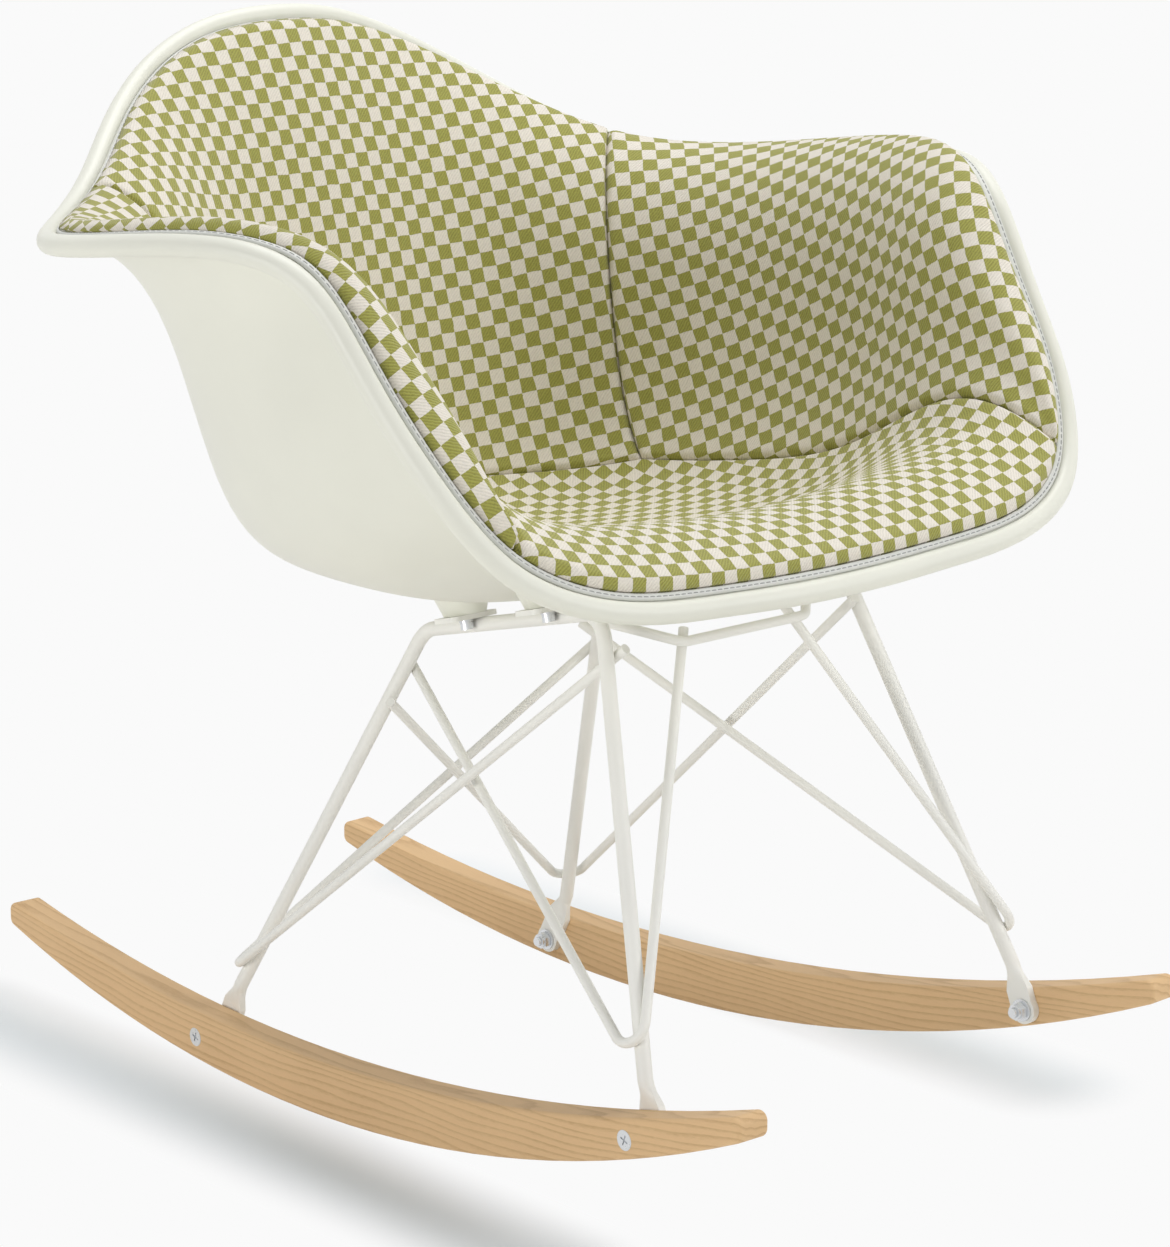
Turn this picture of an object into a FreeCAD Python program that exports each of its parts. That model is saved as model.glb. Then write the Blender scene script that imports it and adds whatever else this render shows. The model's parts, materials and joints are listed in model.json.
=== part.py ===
import FreeCAD, Part
import math
import os

# Moulded plastic rocking armchair: an upholstered bucket shell on a welded wire base with two
# bent wooden rockers.  Frame: X across the chair, the sitter faces -Y, Z up, floor at Z = 0,
# origin on the floor under the middle of the overall length.  Millimetres.

V = FreeCAD.Vector
doc = FreeCAD.newDocument("rocking_chair")

# ---------------------------------------------------------------- driving dimensions
SIZES = [
    ("rocker_centre_x", 151.6, "middle plane of each rocker"),
    ("rocker_thick", 22.0, "rocker thickness across"),
    ("rocker_reach", 368.0, "half of the rocker length"),
    ("sole_radius", 1086.0, "radius of the rolling edge"),
    ("sole_touch_y", 82.0, "where the rolling edge touches the floor"),
    ("rocker_front_tall", 15.2, "rocker depth at its front end"),
    ("rocker_mid_tall", 34.4, "rocker depth over the touching place"),
    ("rocker_rear_tall", 16.0, "rocker depth at its rear end"),
    ("rocker_splay", 2.04, "each rocker turns outwards at the front, degrees, about its rear screw"),
    ("rocker_end_round", 5.5, "rounding of the rocker ends"),
    ("rocker_edge_round", 2.5, "rounding of the long edges"),
    ("screw_rear_y", 148.0, "rear screw"),
    ("screw_rear_z", 17.0, "rear screw height"),
    ("screw_front_y", -273.0, "front screw"),
    ("screw_front_z", 71.5, "front screw height"),
    ("screw_dia", 6.0, "screw shank"),
    ("screw_head_dia", 12.0, "countersunk head"),
    ("screw_head_deep", 3.2, "depth of the countersunk head"),
    ("hole_play", 0.3, "radial play of screw and bolt holes"),
    ("seat_gap", 0.15, "gap where a piece bears on another"),
    ("hook_gap", 0.5, "gap inside a brace wire where it hooks a leg"),
    ("rod_dia", 9.0, "leg and side rail rod"),
    ("wire_dia", 6.0, "brace and crossbar wire"),
    ("tab_wide", 17.0, "flattened leg end, width"),
    ("tab_thick", 5.0, "flattened leg end, thickness"),
    ("tab_past_screw", 9.0, "tab end beyond the screw"),
    ("taper_long", 12.0, "length of the flattening"),
    ("knee_rear_y", 131.1, "rear leg meets its flattened end"),
    ("knee_rear_z", 51.0, "height of that knee"),
    ("knee_front_y", -262.5, "front leg meets its flattened end"),
    ("knee_front_z", 98.0, "height of that knee"),
    ("rail_rear_x", 74.0, "rear corner of the side rail"),
    ("rail_rear_y", 22.0, "rear corner of the side rail"),
    ("rail_rear_z", 293.0, "rear corner height"),
    ("rail_front_x", 97.0, "front corner of the side rail"),
    ("rail_front_y", -165.0, "front corner of the side rail"),
    ("rail_front_z", 341.0, "front corner height"),
    ("rail_bend", 20.0, "bend radius of the rod"),
    ("knee_bend", 10.0, "bend radius where the leg turns upright"),
    ("crossbar_drop_x", 50.0, "half of the crossbar's low run"),
    ("crossbar_y", -183.0, "crossbar low run"),
    ("crossbar_z", 319.0, "crossbar low run height"),
    ("wire_bend", 11.5, "bend radius of the brace wires"),
    ("brace_front_z", 116.0, "where the front brace hooks the leg"),
    ("brace_rear_z", 61.0, "where the rear brace hooks the leg"),
    ("brace_top_a_z", 268.0, "front brace on the rear leg"),
    ("brace_top_b_z", 246.0, "rear brace on the opposite rear leg"),
    ("brace_top_c_z", 318.0, "rear brace on the front leg"),
    ("brace_stub", 9.0, "wire left beyond a weld"),
    ("mount_rear_y", -38.0, "rear shell mounts"),
    ("mount_front_y", -124.0, "front shell mounts"),
    ("mount_out", 9.4, "mount axis outboard of the rail"),
    ("plate_long", 36.0, "mount plate, along X"),
    ("plate_wide", 22.0, "mount plate, along the rail"),
    ("plate_thick", 3.0, "mount plate"),
    ("bolt_dia", 6.0, "shell bolt"),
    ("bolt_head_dia", 8.0, "shell bolt head"),
    ("bolt_head_tall", 4.5, "shell bolt head"),
    ("bolt_key_dia", 4.6, "hexagon recess in the bolt head, across corners"),
    ("bolt_key_deep", 3.0, "depth of that recess"),
    ("bolt_short", 1.0, "the bolt ends this far before the end of its insert"),
    ("mount_washer_dia", 9.0, "washers under the bolt heads"),
    ("washer_dia", 14.0, "washers under the lock nuts"),
    ("washer_thick", 1.4, "washers"),
    ("nut_flats", 10.0, "lock nut across flats"),
    ("nut_tall", 6.0, "lock nut"),
    ("nut_hex_tall", 4.2, "hexagonal part of the lock nut"),
    ("nut_collar_dia", 9.0, "round collar of the lock nut"),
    ("nut_play", 0.1, "radial play of the lock nut's bore"),
    ("screw_past_nut", 2.0, "screw end beyond its nut"),
    ("recess_long", 6.4, "cross recess in the screw head, length of a slot"),
    ("recess_wide", 1.1, "width of a slot"),
    ("recess_deep", 1.0, "depth of a slot"),
    ("boss_dia", 26.0, "shell mount boss at the plate"),
    ("boss_flare", 5.0, "boss is this much wider at the shell"),
    ("boss_tall", 14.0, "boss before the shell cuts it off"),
    ("plate_corner", 5.0, "rounded corners of the mount plate"),
    ("insert_dia", 9.0, "threaded insert in the boss"),
    ("insert_deep", 5.0, "threaded insert length"),
    ("insert_play", 0.05, "play round the insert and in its bore"),
    ("pole_z", 324.0, "lowest place of the shell's middle surface"),
    ("shell_wall", 4.4, "moulded wall"),
    ("bead_round", 6.5, "radius of the rolled rim"),
    ("bead_shift", 1.8, "rolled rim stands this far outside the wall"),
    ("trim_wide", 6.0, "stitched band beside the rim"),
    ("trim_thick", 2.6, "stitched band"),
    ("trim_from", 6.6, "band starts this far from the rim's middle"),
    ("pad_gap", 0.4, "gap under and between the pads"),
    ("pad_edge", 3.0, "pad thickness at its sewn edge"),
    ("seat_pad_thick", 13.0, "seat pad at its crown"),
    ("back_pad_thick", 11.0, "back pad at its crown"),
    ("arm_pad_thick", 11.0, "arm pads at their crown"),
    ("seam_turn", 115.5, "seam corner, degrees from the front"),
    ("seam_reach", 0.485, "seam corner, share of the wall profile"),
    ("seam_back", 0.46, "seat and back seam at the middle"),
    ("seam_side", 0.54, "seat and arm seam half way"),
    ("seam_front_turn", 43.5, "arm seam at the rim, degrees from the front"),
    ("seam_rim_turn", 129.0, "back seam at the rim, degrees from the front"),
]
sheet = doc.addObject("Spreadsheet::Sheet", "Sizes")
for row, (alias, number, note) in enumerate(SIZES, start=1):
    sheet.set("A%d" % row, str(number))
    sheet.set("B%d" % row, note)
    sheet.setAlias("A%d" % row, alias)

# The upper edge of a rocker is the circle through three places over the rolling edge.
EDGE = [
    ("edge_front_z", "=sole_radius - sqrt(sole_radius^2 - (rocker_reach + sole_touch_y)^2)"
                     " + rocker_front_tall"),
    ("edge_rear_z", "=sole_radius - sqrt(sole_radius^2 - (rocker_reach - sole_touch_y)^2)"
                    " + rocker_rear_tall"),
    ("edge_front_sq", "=rocker_reach^2 + edge_front_z^2"),
    ("edge_rear_sq", "=rocker_reach^2 + edge_rear_z^2"),
    ("edge_mid_sq", "=sole_touch_y^2 + rocker_mid_tall^2"),
    ("edge_twice", "=2 * (rocker_reach * (rocker_mid_tall - edge_rear_z)"
                   " + rocker_reach * (rocker_mid_tall - edge_front_z)"
                   " + sole_touch_y * (edge_front_z - edge_rear_z))"),
    ("back_centre_y", "=(edge_front_sq * (edge_rear_z - rocker_mid_tall)"
                      " + edge_rear_sq * (rocker_mid_tall - edge_front_z)"
                      " + edge_mid_sq * (edge_front_z - edge_rear_z)) / edge_twice"),
    ("back_centre_z", "=(edge_front_sq * (sole_touch_y - rocker_reach)"
                      " - edge_rear_sq * (rocker_reach + sole_touch_y)"
                      " + edge_mid_sq * 2 * rocker_reach) / edge_twice"),
    ("back_radius", "=sqrt((rocker_reach + back_centre_y)^2 + (edge_front_z - back_centre_z)^2)"),
]
for row, (alias, formula) in enumerate(EDGE, start=1):
    sheet.set("Q%d" % row, formula)
    sheet.setAlias("Q%d" % row, alias)
doc.recompute()

# The rim seen from above: degrees from the front, distance from the pole, height.
RIM = [
    (0, 260, 359), (24, 282, 363), (39, 317, 380), (46, 325, 407), (52, 321, 448), (58, 310, 492),
    (65, 301, 541), (72, 301, 559), (85, 305, 560), (98, 309, 552), (111, 304, 546),
    (123, 285, 551), (136, 271.5, 572), (150, 272, 606), (165, 267, 639), (180, 258, 649),
]
# How the wall climbs from the pole to the rim: degrees, then the control points of a cubic
# profile.  The first is level with the pole; the next three are distance and height; the
# last is counted from the rim.
WALL = [
    (0, 45, 90, 326, 140, 344, 190, 386, -24, 17),
    (38, 48, 106, 328, 172, 354, 236, 398, -30, 16),
    (60, 50, 118, 328, 188, 350, 248, 410, -28, 12),
    (90, 50, 120, 329, 190, 350, 229, 438, -50, 7),
    (132, 50, 120, 326, 182, 344, 205, 438, -48, -9),
    (180, 48, 118, 324, 163, 350, 188, 475, -26, -46),
]
WALL_WORDS = ("r1", "r2", "z2", "r3", "z3", "r4", "z4", "r5", "z5")
for row, (turn, reach, tall) in enumerate(RIM, start=1):
    sheet.set("D%d" % row, str(reach))
    sheet.setAlias("D%d" % row, "rim_reach_%d" % turn)
    sheet.set("E%d" % row, str(tall))
    sheet.setAlias("E%d" % row, "rim_tall_%d" % turn)
for row, station in enumerate(WALL, start=1):
    for column, word, number in zip("GHIJKLMNO", WALL_WORDS, station[1:]):
        sheet.set("%s%d" % (column, row), str(number))
        sheet.setAlias("%s%d" % (column, row), "wall_%s_%d" % (word, station[0]))
doc.recompute()


def val(alias):
    return float(sheet.get(alias))


# ---------------------------------------------------------------- small helpers
def finish_node(obj, label):
    obj.Label = label
    NODES.append(obj)
    return obj


NODES = []


def shape_node(label, shape):
    """A sub-part whose form needs Part's own functions."""
    obj = doc.addObject("Part::Feature", label)
    obj.Shape = shape
    obj.Placement = shape.Placement
    return finish_node(obj, label)


def primitive(kind, name, sizes, place=None, axis="z"):
    """A Part primitive with its sizes and position tied to the sheet."""
    obj = doc.addObject(kind, name)
    turn = {"z": FreeCAD.Rotation(), "x": FreeCAD.Rotation(V(0, 1, 0), 90),
            "-x": FreeCAD.Rotation(V(0, 1, 0), -90)}[axis]
    obj.Placement = FreeCAD.Placement(V(0, 0, 0), turn)
    for prop, expression in sizes.items():
        obj.setExpression(prop, expression)
    for letter, expression in (place or {}).items():
        obj.setExpression("Placement.Base." + letter, expression)
    return obj


def cut(name, base, tool):
    obj = doc.addObject("Part::Cut", name)
    obj.Base = base
    obj.Tool = tool
    return obj


def fuse(name, shapes):
    obj = doc.addObject("Part::MultiFuse", name)
    obj.Shapes = shapes
    return obj


def smooth_curve(stations):
    """Cubic curve through (degrees, value) stations, even about 0 and 180 degrees."""
    xs = [s[0] for s in stations]
    ys = [s[1] for s in stations]
    count = len(xs)
    low = [0.0] * count
    mid = [1.0] * count
    high = [0.0] * count
    rhs = [0.0] * count
    for i in range(1, count - 1):
        left = xs[i] - xs[i - 1]
        right = xs[i + 1] - xs[i]
        low[i] = right
        mid[i] = 2.0 * (left + right)
        high[i] = left
        rhs[i] = 3.0 * (right * (ys[i] - ys[i - 1]) / left + left * (ys[i + 1] - ys[i]) / right)
    for i in range(1, count):
        share = low[i] / mid[i - 1]
        mid[i] -= share * high[i - 1]
        rhs[i] -= share * rhs[i - 1]
    slope = [0.0] * count
    for i in range(count - 1, -1, -1):
        after = high[i] * slope[i + 1] if i < count - 1 else 0.0
        slope[i] = (rhs[i] - after) / mid[i]

    def value(turn):
        turn = abs((turn + 180.0) % 360.0 - 180.0)
        i = 0
        while i < count - 2 and turn > xs[i + 1]:
            i += 1
        span = xs[i + 1] - xs[i]
        k = (turn - xs[i]) / span
        return (ys[i] * (1 + 2 * k) * (1 - k) ** 2 + slope[i] * span * k * (1 - k) ** 2
                + ys[i + 1] * k * k * (3 - 2 * k) + slope[i + 1] * span * k * k * (k - 1))
    return value


def bent_path(points, bends):
    """Straight runs joined by tangent arcs."""
    edges = []
    start = points[0]
    for i in range(1, len(points) - 1):
        corner = points[i]
        back = (points[i - 1] - corner).normalize()
        ahead = (points[i + 1] - corner).normalize()
        half = back.getAngle(ahead) / 2.0
        trim = bends[i - 1] / math.tan(half)
        enter = corner + back * trim
        leave = corner + ahead * trim
        bisector = (back + ahead).normalize()
        middle = corner + bisector * (bends[i - 1] / math.sin(half) - bends[i - 1])
        edges.append(Part.makeLine(start, enter))
        edges.append(Part.Arc(enter, middle, leave).toShape())
        start = leave
    edges.append(Part.makeLine(start, points[-1]))
    return Part.Wire(edges)


def round_wire(points, bends, dia):
    """A bent round wire or rod."""
    path = bent_path(points, bends)
    ring = Part.Wire([Part.makeCircle(dia / 2.0, points[0], (points[1] - points[0]))])
    return path.makePipeShell([ring], True, False)


def mirror_x(shape):
    return shape.mirror(V(0, 0, 0), V(1, 0, 0))


# ---------------------------------------------------------------- rockers
# Each rocker is the part of a large disc that a second disc leaves, cut to length.
def make_rocker(label, side):
    sign = "" if side > 0 else "-1 * "
    inner = "%sSizes.rocker_centre_x - Sizes.rocker_thick / 2" % sign
    disc = primitive("Part::Cylinder", label + "_sole",
                     {"Radius": "Sizes.sole_radius", "Height": "Sizes.rocker_thick"},
                     {"x": inner, "y": "Sizes.sole_touch_y", "z": "Sizes.sole_radius"}, "x")
    void = primitive("Part::Cylinder", label + "_upper",
                     {"Radius": "Sizes.back_radius", "Height": "Sizes.rocker_thick + 4"},
                     {"x": inner + " - 2", "y": "Sizes.back_centre_y", "z": "Sizes.back_centre_z"}, "x")
    stock = primitive("Part::Box", label + "_stock",
                      {"Length": "Sizes.rocker_thick", "Width": "Sizes.rocker_reach * 2",
                       "Height": "Sizes.rocker_reach"},
                      {"x": inner, "y": "-1 * Sizes.rocker_reach", "z": "-2"})
    blank = doc.addObject("Part::Common", label + "_blank")
    blank.Base = stock
    blank.Tool = disc
    strip = cut(label + "_strip", blank, void)
    doc.recompute()
    thick = val("rocker_thick")
    reach = val("rocker_reach")
    ends = [n for n, edge in enumerate(strip.Shape.Edges, start=1)
            if edge.BoundBox.XLength > thick * 0.9 and abs(abs(edge.BoundBox.Center.y) - reach) < 1.0]
    soft = doc.addObject("Part::Fillet", label + "_ends")
    soft.Base = strip
    soft.Edges = [(n, val("rocker_end_round"), val("rocker_end_round")) for n in ends]
    doc.recompute()
    longs = [n for n, edge in enumerate(soft.Shape.Edges, start=1)
             if edge.BoundBox.YLength > reach and edge.BoundBox.XLength < 1.0]
    eased = doc.addObject("Part::Fillet", label + "_eased")
    eased.Base = soft
    eased.Edges = [(n, val("rocker_edge_round"), val("rocker_edge_round")) for n in longs]
    tools = []
    outer = "%sSizes.rocker_centre_x %s Sizes.rocker_thick / 2" % (sign, "+" if side > 0 else "-")
    for where in ("rear", "front"):
        spot = {"y": "Sizes.screw_%s_y" % where, "z": "Sizes.screw_%s_z" % where}
        bore = primitive("Part::Cylinder", "%s_%s_bore" % (label, where),
                         {"Radius": "Sizes.screw_dia / 2 + Sizes.hole_play",
                          "Height": "Sizes.rocker_thick + 4"},
                         dict(spot, x=inner + " - 2"), "x")
        sink = primitive("Part::Cone", "%s_%s_sink" % (label, where),
                         {"Radius1": "Sizes.screw_head_dia / 2 + Sizes.seat_gap",
                          "Radius2": "Sizes.screw_dia / 2 + Sizes.hole_play",
                          "Height": "Sizes.screw_head_deep + Sizes.seat_gap"},
                         dict(spot, x=outer), "-x" if side > 0 else "x")
        tools += [bore, sink]
    rocker = cut(label + "_bored", eased, fuse(label + "_holes", tools))
    rocker.Placement = splay(side)
    return finish_node(rocker, label)


def splay(side):
    """Turns what stands on a rocker about the rear screw's upright line."""
    return FreeCAD.Placement(V(0, 0, 0), FreeCAD.Rotation(V(0, 0, 1), val("rocker_splay") * side),
                             V(val("rocker_centre_x") * side, val("screw_rear_y"), 0))


def splayed(shape, side):
    """A copy of a shape, turned with the rocker."""
    copy = shape.copy()
    copy.Placement = splay(side).multiply(copy.Placement)
    return copy


make_rocker("rocker_right", 1)
make_rocker("rocker_left", -1)

INNER_X = val("rocker_centre_x") - val("rocker_thick") / 2.0
OUTER_X = val("rocker_centre_x") + val("rocker_thick") / 2.0
GAP = val("seat_gap")
SCREWS = [(val("screw_rear_y"), val("screw_rear_z")), (val("screw_front_y"), val("screw_front_z"))]


# ---------------------------------------------------------------- leg rods
# One rod per side: flattened tab, rear leg, side rail, front leg, flattened tab.
ROD = val("rod_dia")
WIRE = val("wire_dia")
TAB_X = INNER_X - GAP - val("tab_thick") / 2.0
KNEE_R = V(TAB_X, val("knee_rear_y"), val("knee_rear_z"))
KNEE_F = V(TAB_X, val("knee_front_y"), val("knee_front_z"))
SPLAY = splay(1)
RAIL_R = V(val("rail_rear_x"), val("rail_rear_y"), val("rail_rear_z"))
RAIL_F = V(val("rail_front_x"), val("rail_front_y"), val("rail_front_z"))


def leg_end(knee, screw):
    """Where the rod turns flat, and the tab that lies on the rocker's inner face."""
    thick = val("tab_thick")
    wide = val("tab_wide")
    bolt = V(TAB_X, screw[0], screw[1])
    down = (bolt - knee).normalize()
    across = V(1, 0, 0).cross(down)
    start = knee + down * (val("knee_bend") * 0.35)
    flat_from = start + down * val("taper_long")
    ring = Part.Wire([Part.makeCircle(ROD / 2.0, start, down)])
    corners = [flat_from + V(1, 0, 0) * (thick / 2.0 * i) + across * (wide / 2.0 * k)
               for i, k in ((-1, -1), (1, -1), (1, 1), (-1, 1))]
    oblong = Part.makePolygon(corners + [corners[0]])
    taper = Part.makeLoft([ring, oblong], True)
    flat = Part.Face(oblong).extrude(down * (bolt - flat_from).Length)
    cap = Part.makeCylinder(val("tab_past_screw"), thick, bolt - V(thick / 2.0, 0, 0), V(1, 0, 0))
    bore = Part.makeCylinder(val("screw_dia") / 2.0 + val("hole_play"), thick + 4.0,
                             bolt - V(thick / 2.0 + 2.0, 0, 0), V(1, 0, 0))
    return SPLAY.multVec(start), splayed(flat.fuse(cap).cut(bore).fuse(taper), 1)


end_r, tab_r = leg_end(KNEE_R, SCREWS[0])
end_f, tab_f = leg_end(KNEE_F, SCREWS[1])
KNEE_R = SPLAY.multVec(KNEE_R)
KNEE_F = SPLAY.multVec(KNEE_F)
rod = round_wire([end_r, KNEE_R, RAIL_R, RAIL_F, KNEE_F, end_f],
                 [val("knee_bend"), val("rail_bend"), val("rail_bend"), val("knee_bend")], ROD)
side_rod = rod.fuse([tab_r, tab_f])
shape_node("side_rod_right", side_rod)
shape_node("side_rod_left", mirror_x(side_rod))


def on_line(a, b, z):
    return a + (b - a) * ((z - a.z) / (b.z - a.z))


# Front crossbar: a low run that rises at both ends to the side rails.
low_run = V(val("crossbar_drop_x"), val("crossbar_y"), val("crossbar_z"))
rail_dir = (RAIL_R - RAIL_F).normalize()
bar_end = RAIL_F + rail_dir * (val("rail_bend") * 1.3)
toward = (low_run - bar_end).normalize()
side_step = toward - rail_dir * toward.dot(rail_dir)
bar_end = bar_end + toward * ((ROD / 2.0 + GAP) / side_step.Length + WIRE / 2.0 * 0.7)
bar_points = [V(-bar_end.x, bar_end.y, bar_end.z), V(-low_run.x, low_run.y, low_run.z),
              low_run, bar_end]
shape_node("crossbar_front", round_wire(bar_points, [val("wire_bend")] * 2, WIRE))


def beside(line_a, line_b, spot, far_end, lean_dir, reach):
    """Centre of a wire that lies against a rod at spot, on the side that lean_dir points to."""
    along = (line_b - line_a).normalize()
    run = (far_end - spot).normalize()
    off = along.cross(run).normalize()
    if off.dot(lean_dir) < 0:
        off = off * -1.0
    return spot + off * reach


def brace(hook_spot, top_one, top_two, outward):
    """A wire bent double round the outside of a leg, with both ends welded higher up."""
    bend = val("wire_bend")
    reach = ROD / 2.0 + WIRE / 2.0 + val("hook_gap")
    corner = hook_spot
    for _ in range(6):
        one = (top_one - corner).normalize()
        two = (top_two - corner).normalize()
        normal = one.cross(two).normalize()
        if normal.dot(outward) < 0:
            normal = normal * -1.0
        half = one.getAngle(two) / 2.0
        bisector = (one + two).normalize()
        apex = hook_spot + normal * reach
        corner = apex - bisector * (bend / math.sin(half) - bend)
    stub = val("brace_stub")
    points = [top_one + (top_one - corner).normalize() * stub, corner,
              top_two + (top_two - corner).normalize() * stub]
    return round_wire(points, [bend], WIRE)


contact = ROD / 2.0 + WIRE / 2.0 + GAP
hook_f = on_line(KNEE_F, RAIL_F, val("brace_front_z"))
hook_r = on_line(KNEE_R, RAIL_R, val("brace_rear_z"))
spot_a = on_line(KNEE_R, RAIL_R, val("brace_top_a_z"))
spot_b = on_line(KNEE_R, RAIL_R, val("brace_top_b_z"))
spot_b = V(-spot_b.x, spot_b.y, spot_b.z)
spot_c = on_line(KNEE_F, RAIL_F, val("brace_top_c_z"))
top_a = beside(KNEE_R, RAIL_R, spot_a, hook_f, V(-1, -0.3, 0), contact)
knee_opposite = V(-KNEE_R.x, KNEE_R.y, KNEE_R.z)
rail_opposite = V(-RAIL_R.x, RAIL_R.y, RAIL_R.z)
top_b = beside(knee_opposite, rail_opposite, spot_b, hook_r, V(0, -1, 0.2), contact)
top_b_behind = beside(knee_opposite, rail_opposite, spot_b, hook_r, V(0, 1, -0.2), contact)
top_c = beside(KNEE_F, RAIL_F, spot_c, hook_r, V(-1, 0, 0), contact)
top_d = low_run - V(WIRE * 0.8, 0, 0)
off_d = V(1, 0, 0).cross((hook_f - top_d).normalize()).normalize()
top_d = top_d + off_d * ((WIRE + GAP) * (1.0 if off_d.y > 0 else -1.0))
front_brace = brace(hook_f, top_a, top_d, V(1, -0.2, 0.4))
rear_brace = brace(hook_r, top_c, top_b, V(0.4, 0.6, 0.7))
rear_brace_behind = brace(hook_r, top_c, top_b_behind, V(0.4, 0.6, 0.7))
shape_node("brace_front_right", front_brace)
shape_node("brace_front_left", mirror_x(front_brace))
shape_node("brace_rear_right", rear_brace)
shape_node("brace_rear_left", mirror_x(rear_brace_behind))


# ---------------------------------------------------------------- rocker hardware
def rocker_screw(side, spot):
    head = val("screw_head_dia") / 2.0
    deep = val("screw_head_deep")
    face = OUTER_X * side
    inward = V(-side, 0, 0)
    at = V(face, spot[0], spot[1])
    long = (val("rocker_thick") + val("tab_thick") + val("nut_tall") + val("washer_thick") + 4 * GAP
            + val("screw_past_nut"))
    cone = Part.makeCone(head, val("screw_dia") / 2.0, deep, at, inward)
    shank = Part.makeCylinder(val("screw_dia") / 2.0, long, at, inward)
    body = cone.fuse(shank)
    slots = []
    recess = V(2.0 * val("recess_deep"), val("recess_wide"), val("recess_long"))
    for turn in (20.0, 110.0):
        slot = Part.makeBox(recess.x, recess.y, recess.z, recess * -0.5)
        slot.rotate(V(0, 0, 0), V(1, 0, 0), turn)
        slot.translate(at)
        slots.append(slot)
    return body.cut(slots)


def hexagon(radius, tall, at, direction):
    """A hexagonal prism from at along direction."""
    face = Part.Face(Part.makePolygon([V(radius * math.cos(math.radians(60 * i)),
                                         radius * math.sin(math.radians(60 * i)), 0)
                                       for i in range(7)]))
    solid = face.extrude(V(0, 0, tall))
    solid.Placement = FreeCAD.Placement(at, FreeCAD.Rotation(V(0, 0, 1), direction))
    return solid


screws = []
washers = []
nuts = []
tab_face = INNER_X - GAP - val("tab_thick")
for side in (1, -1):
    inward = V(-side, 0, 0)
    for spot in SCREWS:
        screws.append(splayed(rocker_screw(side, spot), side))
        hole = val("screw_dia") / 2.0 + val("hole_play")
        at = V(side * (tab_face - GAP), spot[0], spot[1])
        ring = Part.makeCylinder(val("washer_dia") / 2.0, val("washer_thick"), at, inward)
        punch = Part.makeCylinder(hole, val("washer_thick") + 2.0, at - inward, inward)
        washers.append(splayed(ring.cut(punch), side))
        at = at + inward * (val("washer_thick") + GAP)
        nut = hexagon(val("nut_flats") / math.sqrt(3.0), val("nut_hex_tall"), at, inward)
        collar = Part.makeCylinder(val("nut_collar_dia") / 2.0, val("nut_tall"), at, inward)
        nut = nut.fuse(collar)
        bore = Part.makeCylinder(val("screw_dia") / 2.0 + val("nut_play"), val("nut_tall") + 10.0,
                                 at - inward * 5.0, inward)
        nuts.append(splayed(nut.cut(bore), side))
shape_node("rocker_screws", Part.makeCompound(screws))
shape_node("rocker_washers", Part.makeCompound(washers))
shape_node("rocker_nuts", Part.makeCompound(nuts))

# ---------------------------------------------------------------- the shell's form
rim_reach = smooth_curve([(t, val("rim_reach_%d" % t)) for t, _, _ in RIM])
rim_tall = smooth_curve([(t, val("rim_tall_%d" % t)) for t, _, _ in RIM])
wall_curves = [smooth_curve([(row[0], val("wall_%s_%d" % (word, row[0]))) for row in WALL])
               for word in WALL_WORDS]
POLE = val("pole_z")
KNOTS = [0.0] * 4 + [0.25, 0.5, 0.75] + [1.0] * 4


def blend(u, i, degree):
    """Share of control point i in a cubic with seven control points."""
    if degree == 0:
        return 1.0 if KNOTS[i] <= u < KNOTS[i + 1] else 0.0
    share = 0.0
    if KNOTS[i + degree] > KNOTS[i]:
        share += (u - KNOTS[i]) / (KNOTS[i + degree] - KNOTS[i]) * blend(u, i, degree - 1)
    if KNOTS[i + degree + 1] > KNOTS[i + 1]:
        share += ((KNOTS[i + degree + 1] - u) / (KNOTS[i + degree + 1] - KNOTS[i + 1])
                  * blend(u, i + 1, degree - 1))
    return share


SHARES = {}
RAYS = {}


def form(u, turn):
    """Middle surface of the wall: u runs from the pole (0) to the rim (1)."""
    u = min(max(u, 0.0), 1.0 - 1e-9)
    if u not in SHARES:
        SHARES[u] = [blend(u, i, 3) for i in range(7)]
    if turn not in RAYS:
        r1, r2, z2, r3, z3, r4, z4, r5, z5 = [curve(turn) for curve in wall_curves]
        rim = rim_reach(turn)
        top = rim_tall(turn)
        RAYS[turn] = ((0.0, r1, r2, r3, r4, rim + r5, rim), (POLE, POLE, z2, z3, z4, top + z5, top))
    shares = SHARES[u]
    far, high = RAYS[turn]
    reach = sum(share * place for share, place in zip(shares, far))
    tall = sum(share * place for share, place in zip(shares, high))
    angle = math.radians(turn)
    return V(reach * math.sin(angle), -reach * math.cos(angle), tall)


def form_at(x, y):
    """The same surface from a place in its flat map."""
    return form(math.hypot(x, y), math.degrees(math.atan2(x, -y)))


def slopes(u, turn):
    """Directions up the wall and out of it."""
    angle = math.radians(turn)
    if u < 0.3:
        step = 0.02
        x = u * math.sin(angle)
        y = -u * math.cos(angle)
        east = form_at(x + step, y) - form_at(x - step, y)
        north = form_at(x, y + step) - form_at(x, y - step)
        out = north.cross(east).normalize()
        up = V(math.sin(angle), -math.cos(angle), 0)
        return (up - out * up.dot(out)).normalize(), out
    step = 0.002
    upper = min(u + step, 1.0)
    up = (form(upper, turn) - form(upper - 2 * step, turn)).normalize()
    around = form(u, turn + 0.2) - form(u, turn - 0.2)
    return up, around.cross(up).normalize()


def skin(u, turn, off):
    """A place off the middle surface, positive outside."""
    return form(u, turn) + slopes(u, turn)[1] * off


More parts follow.
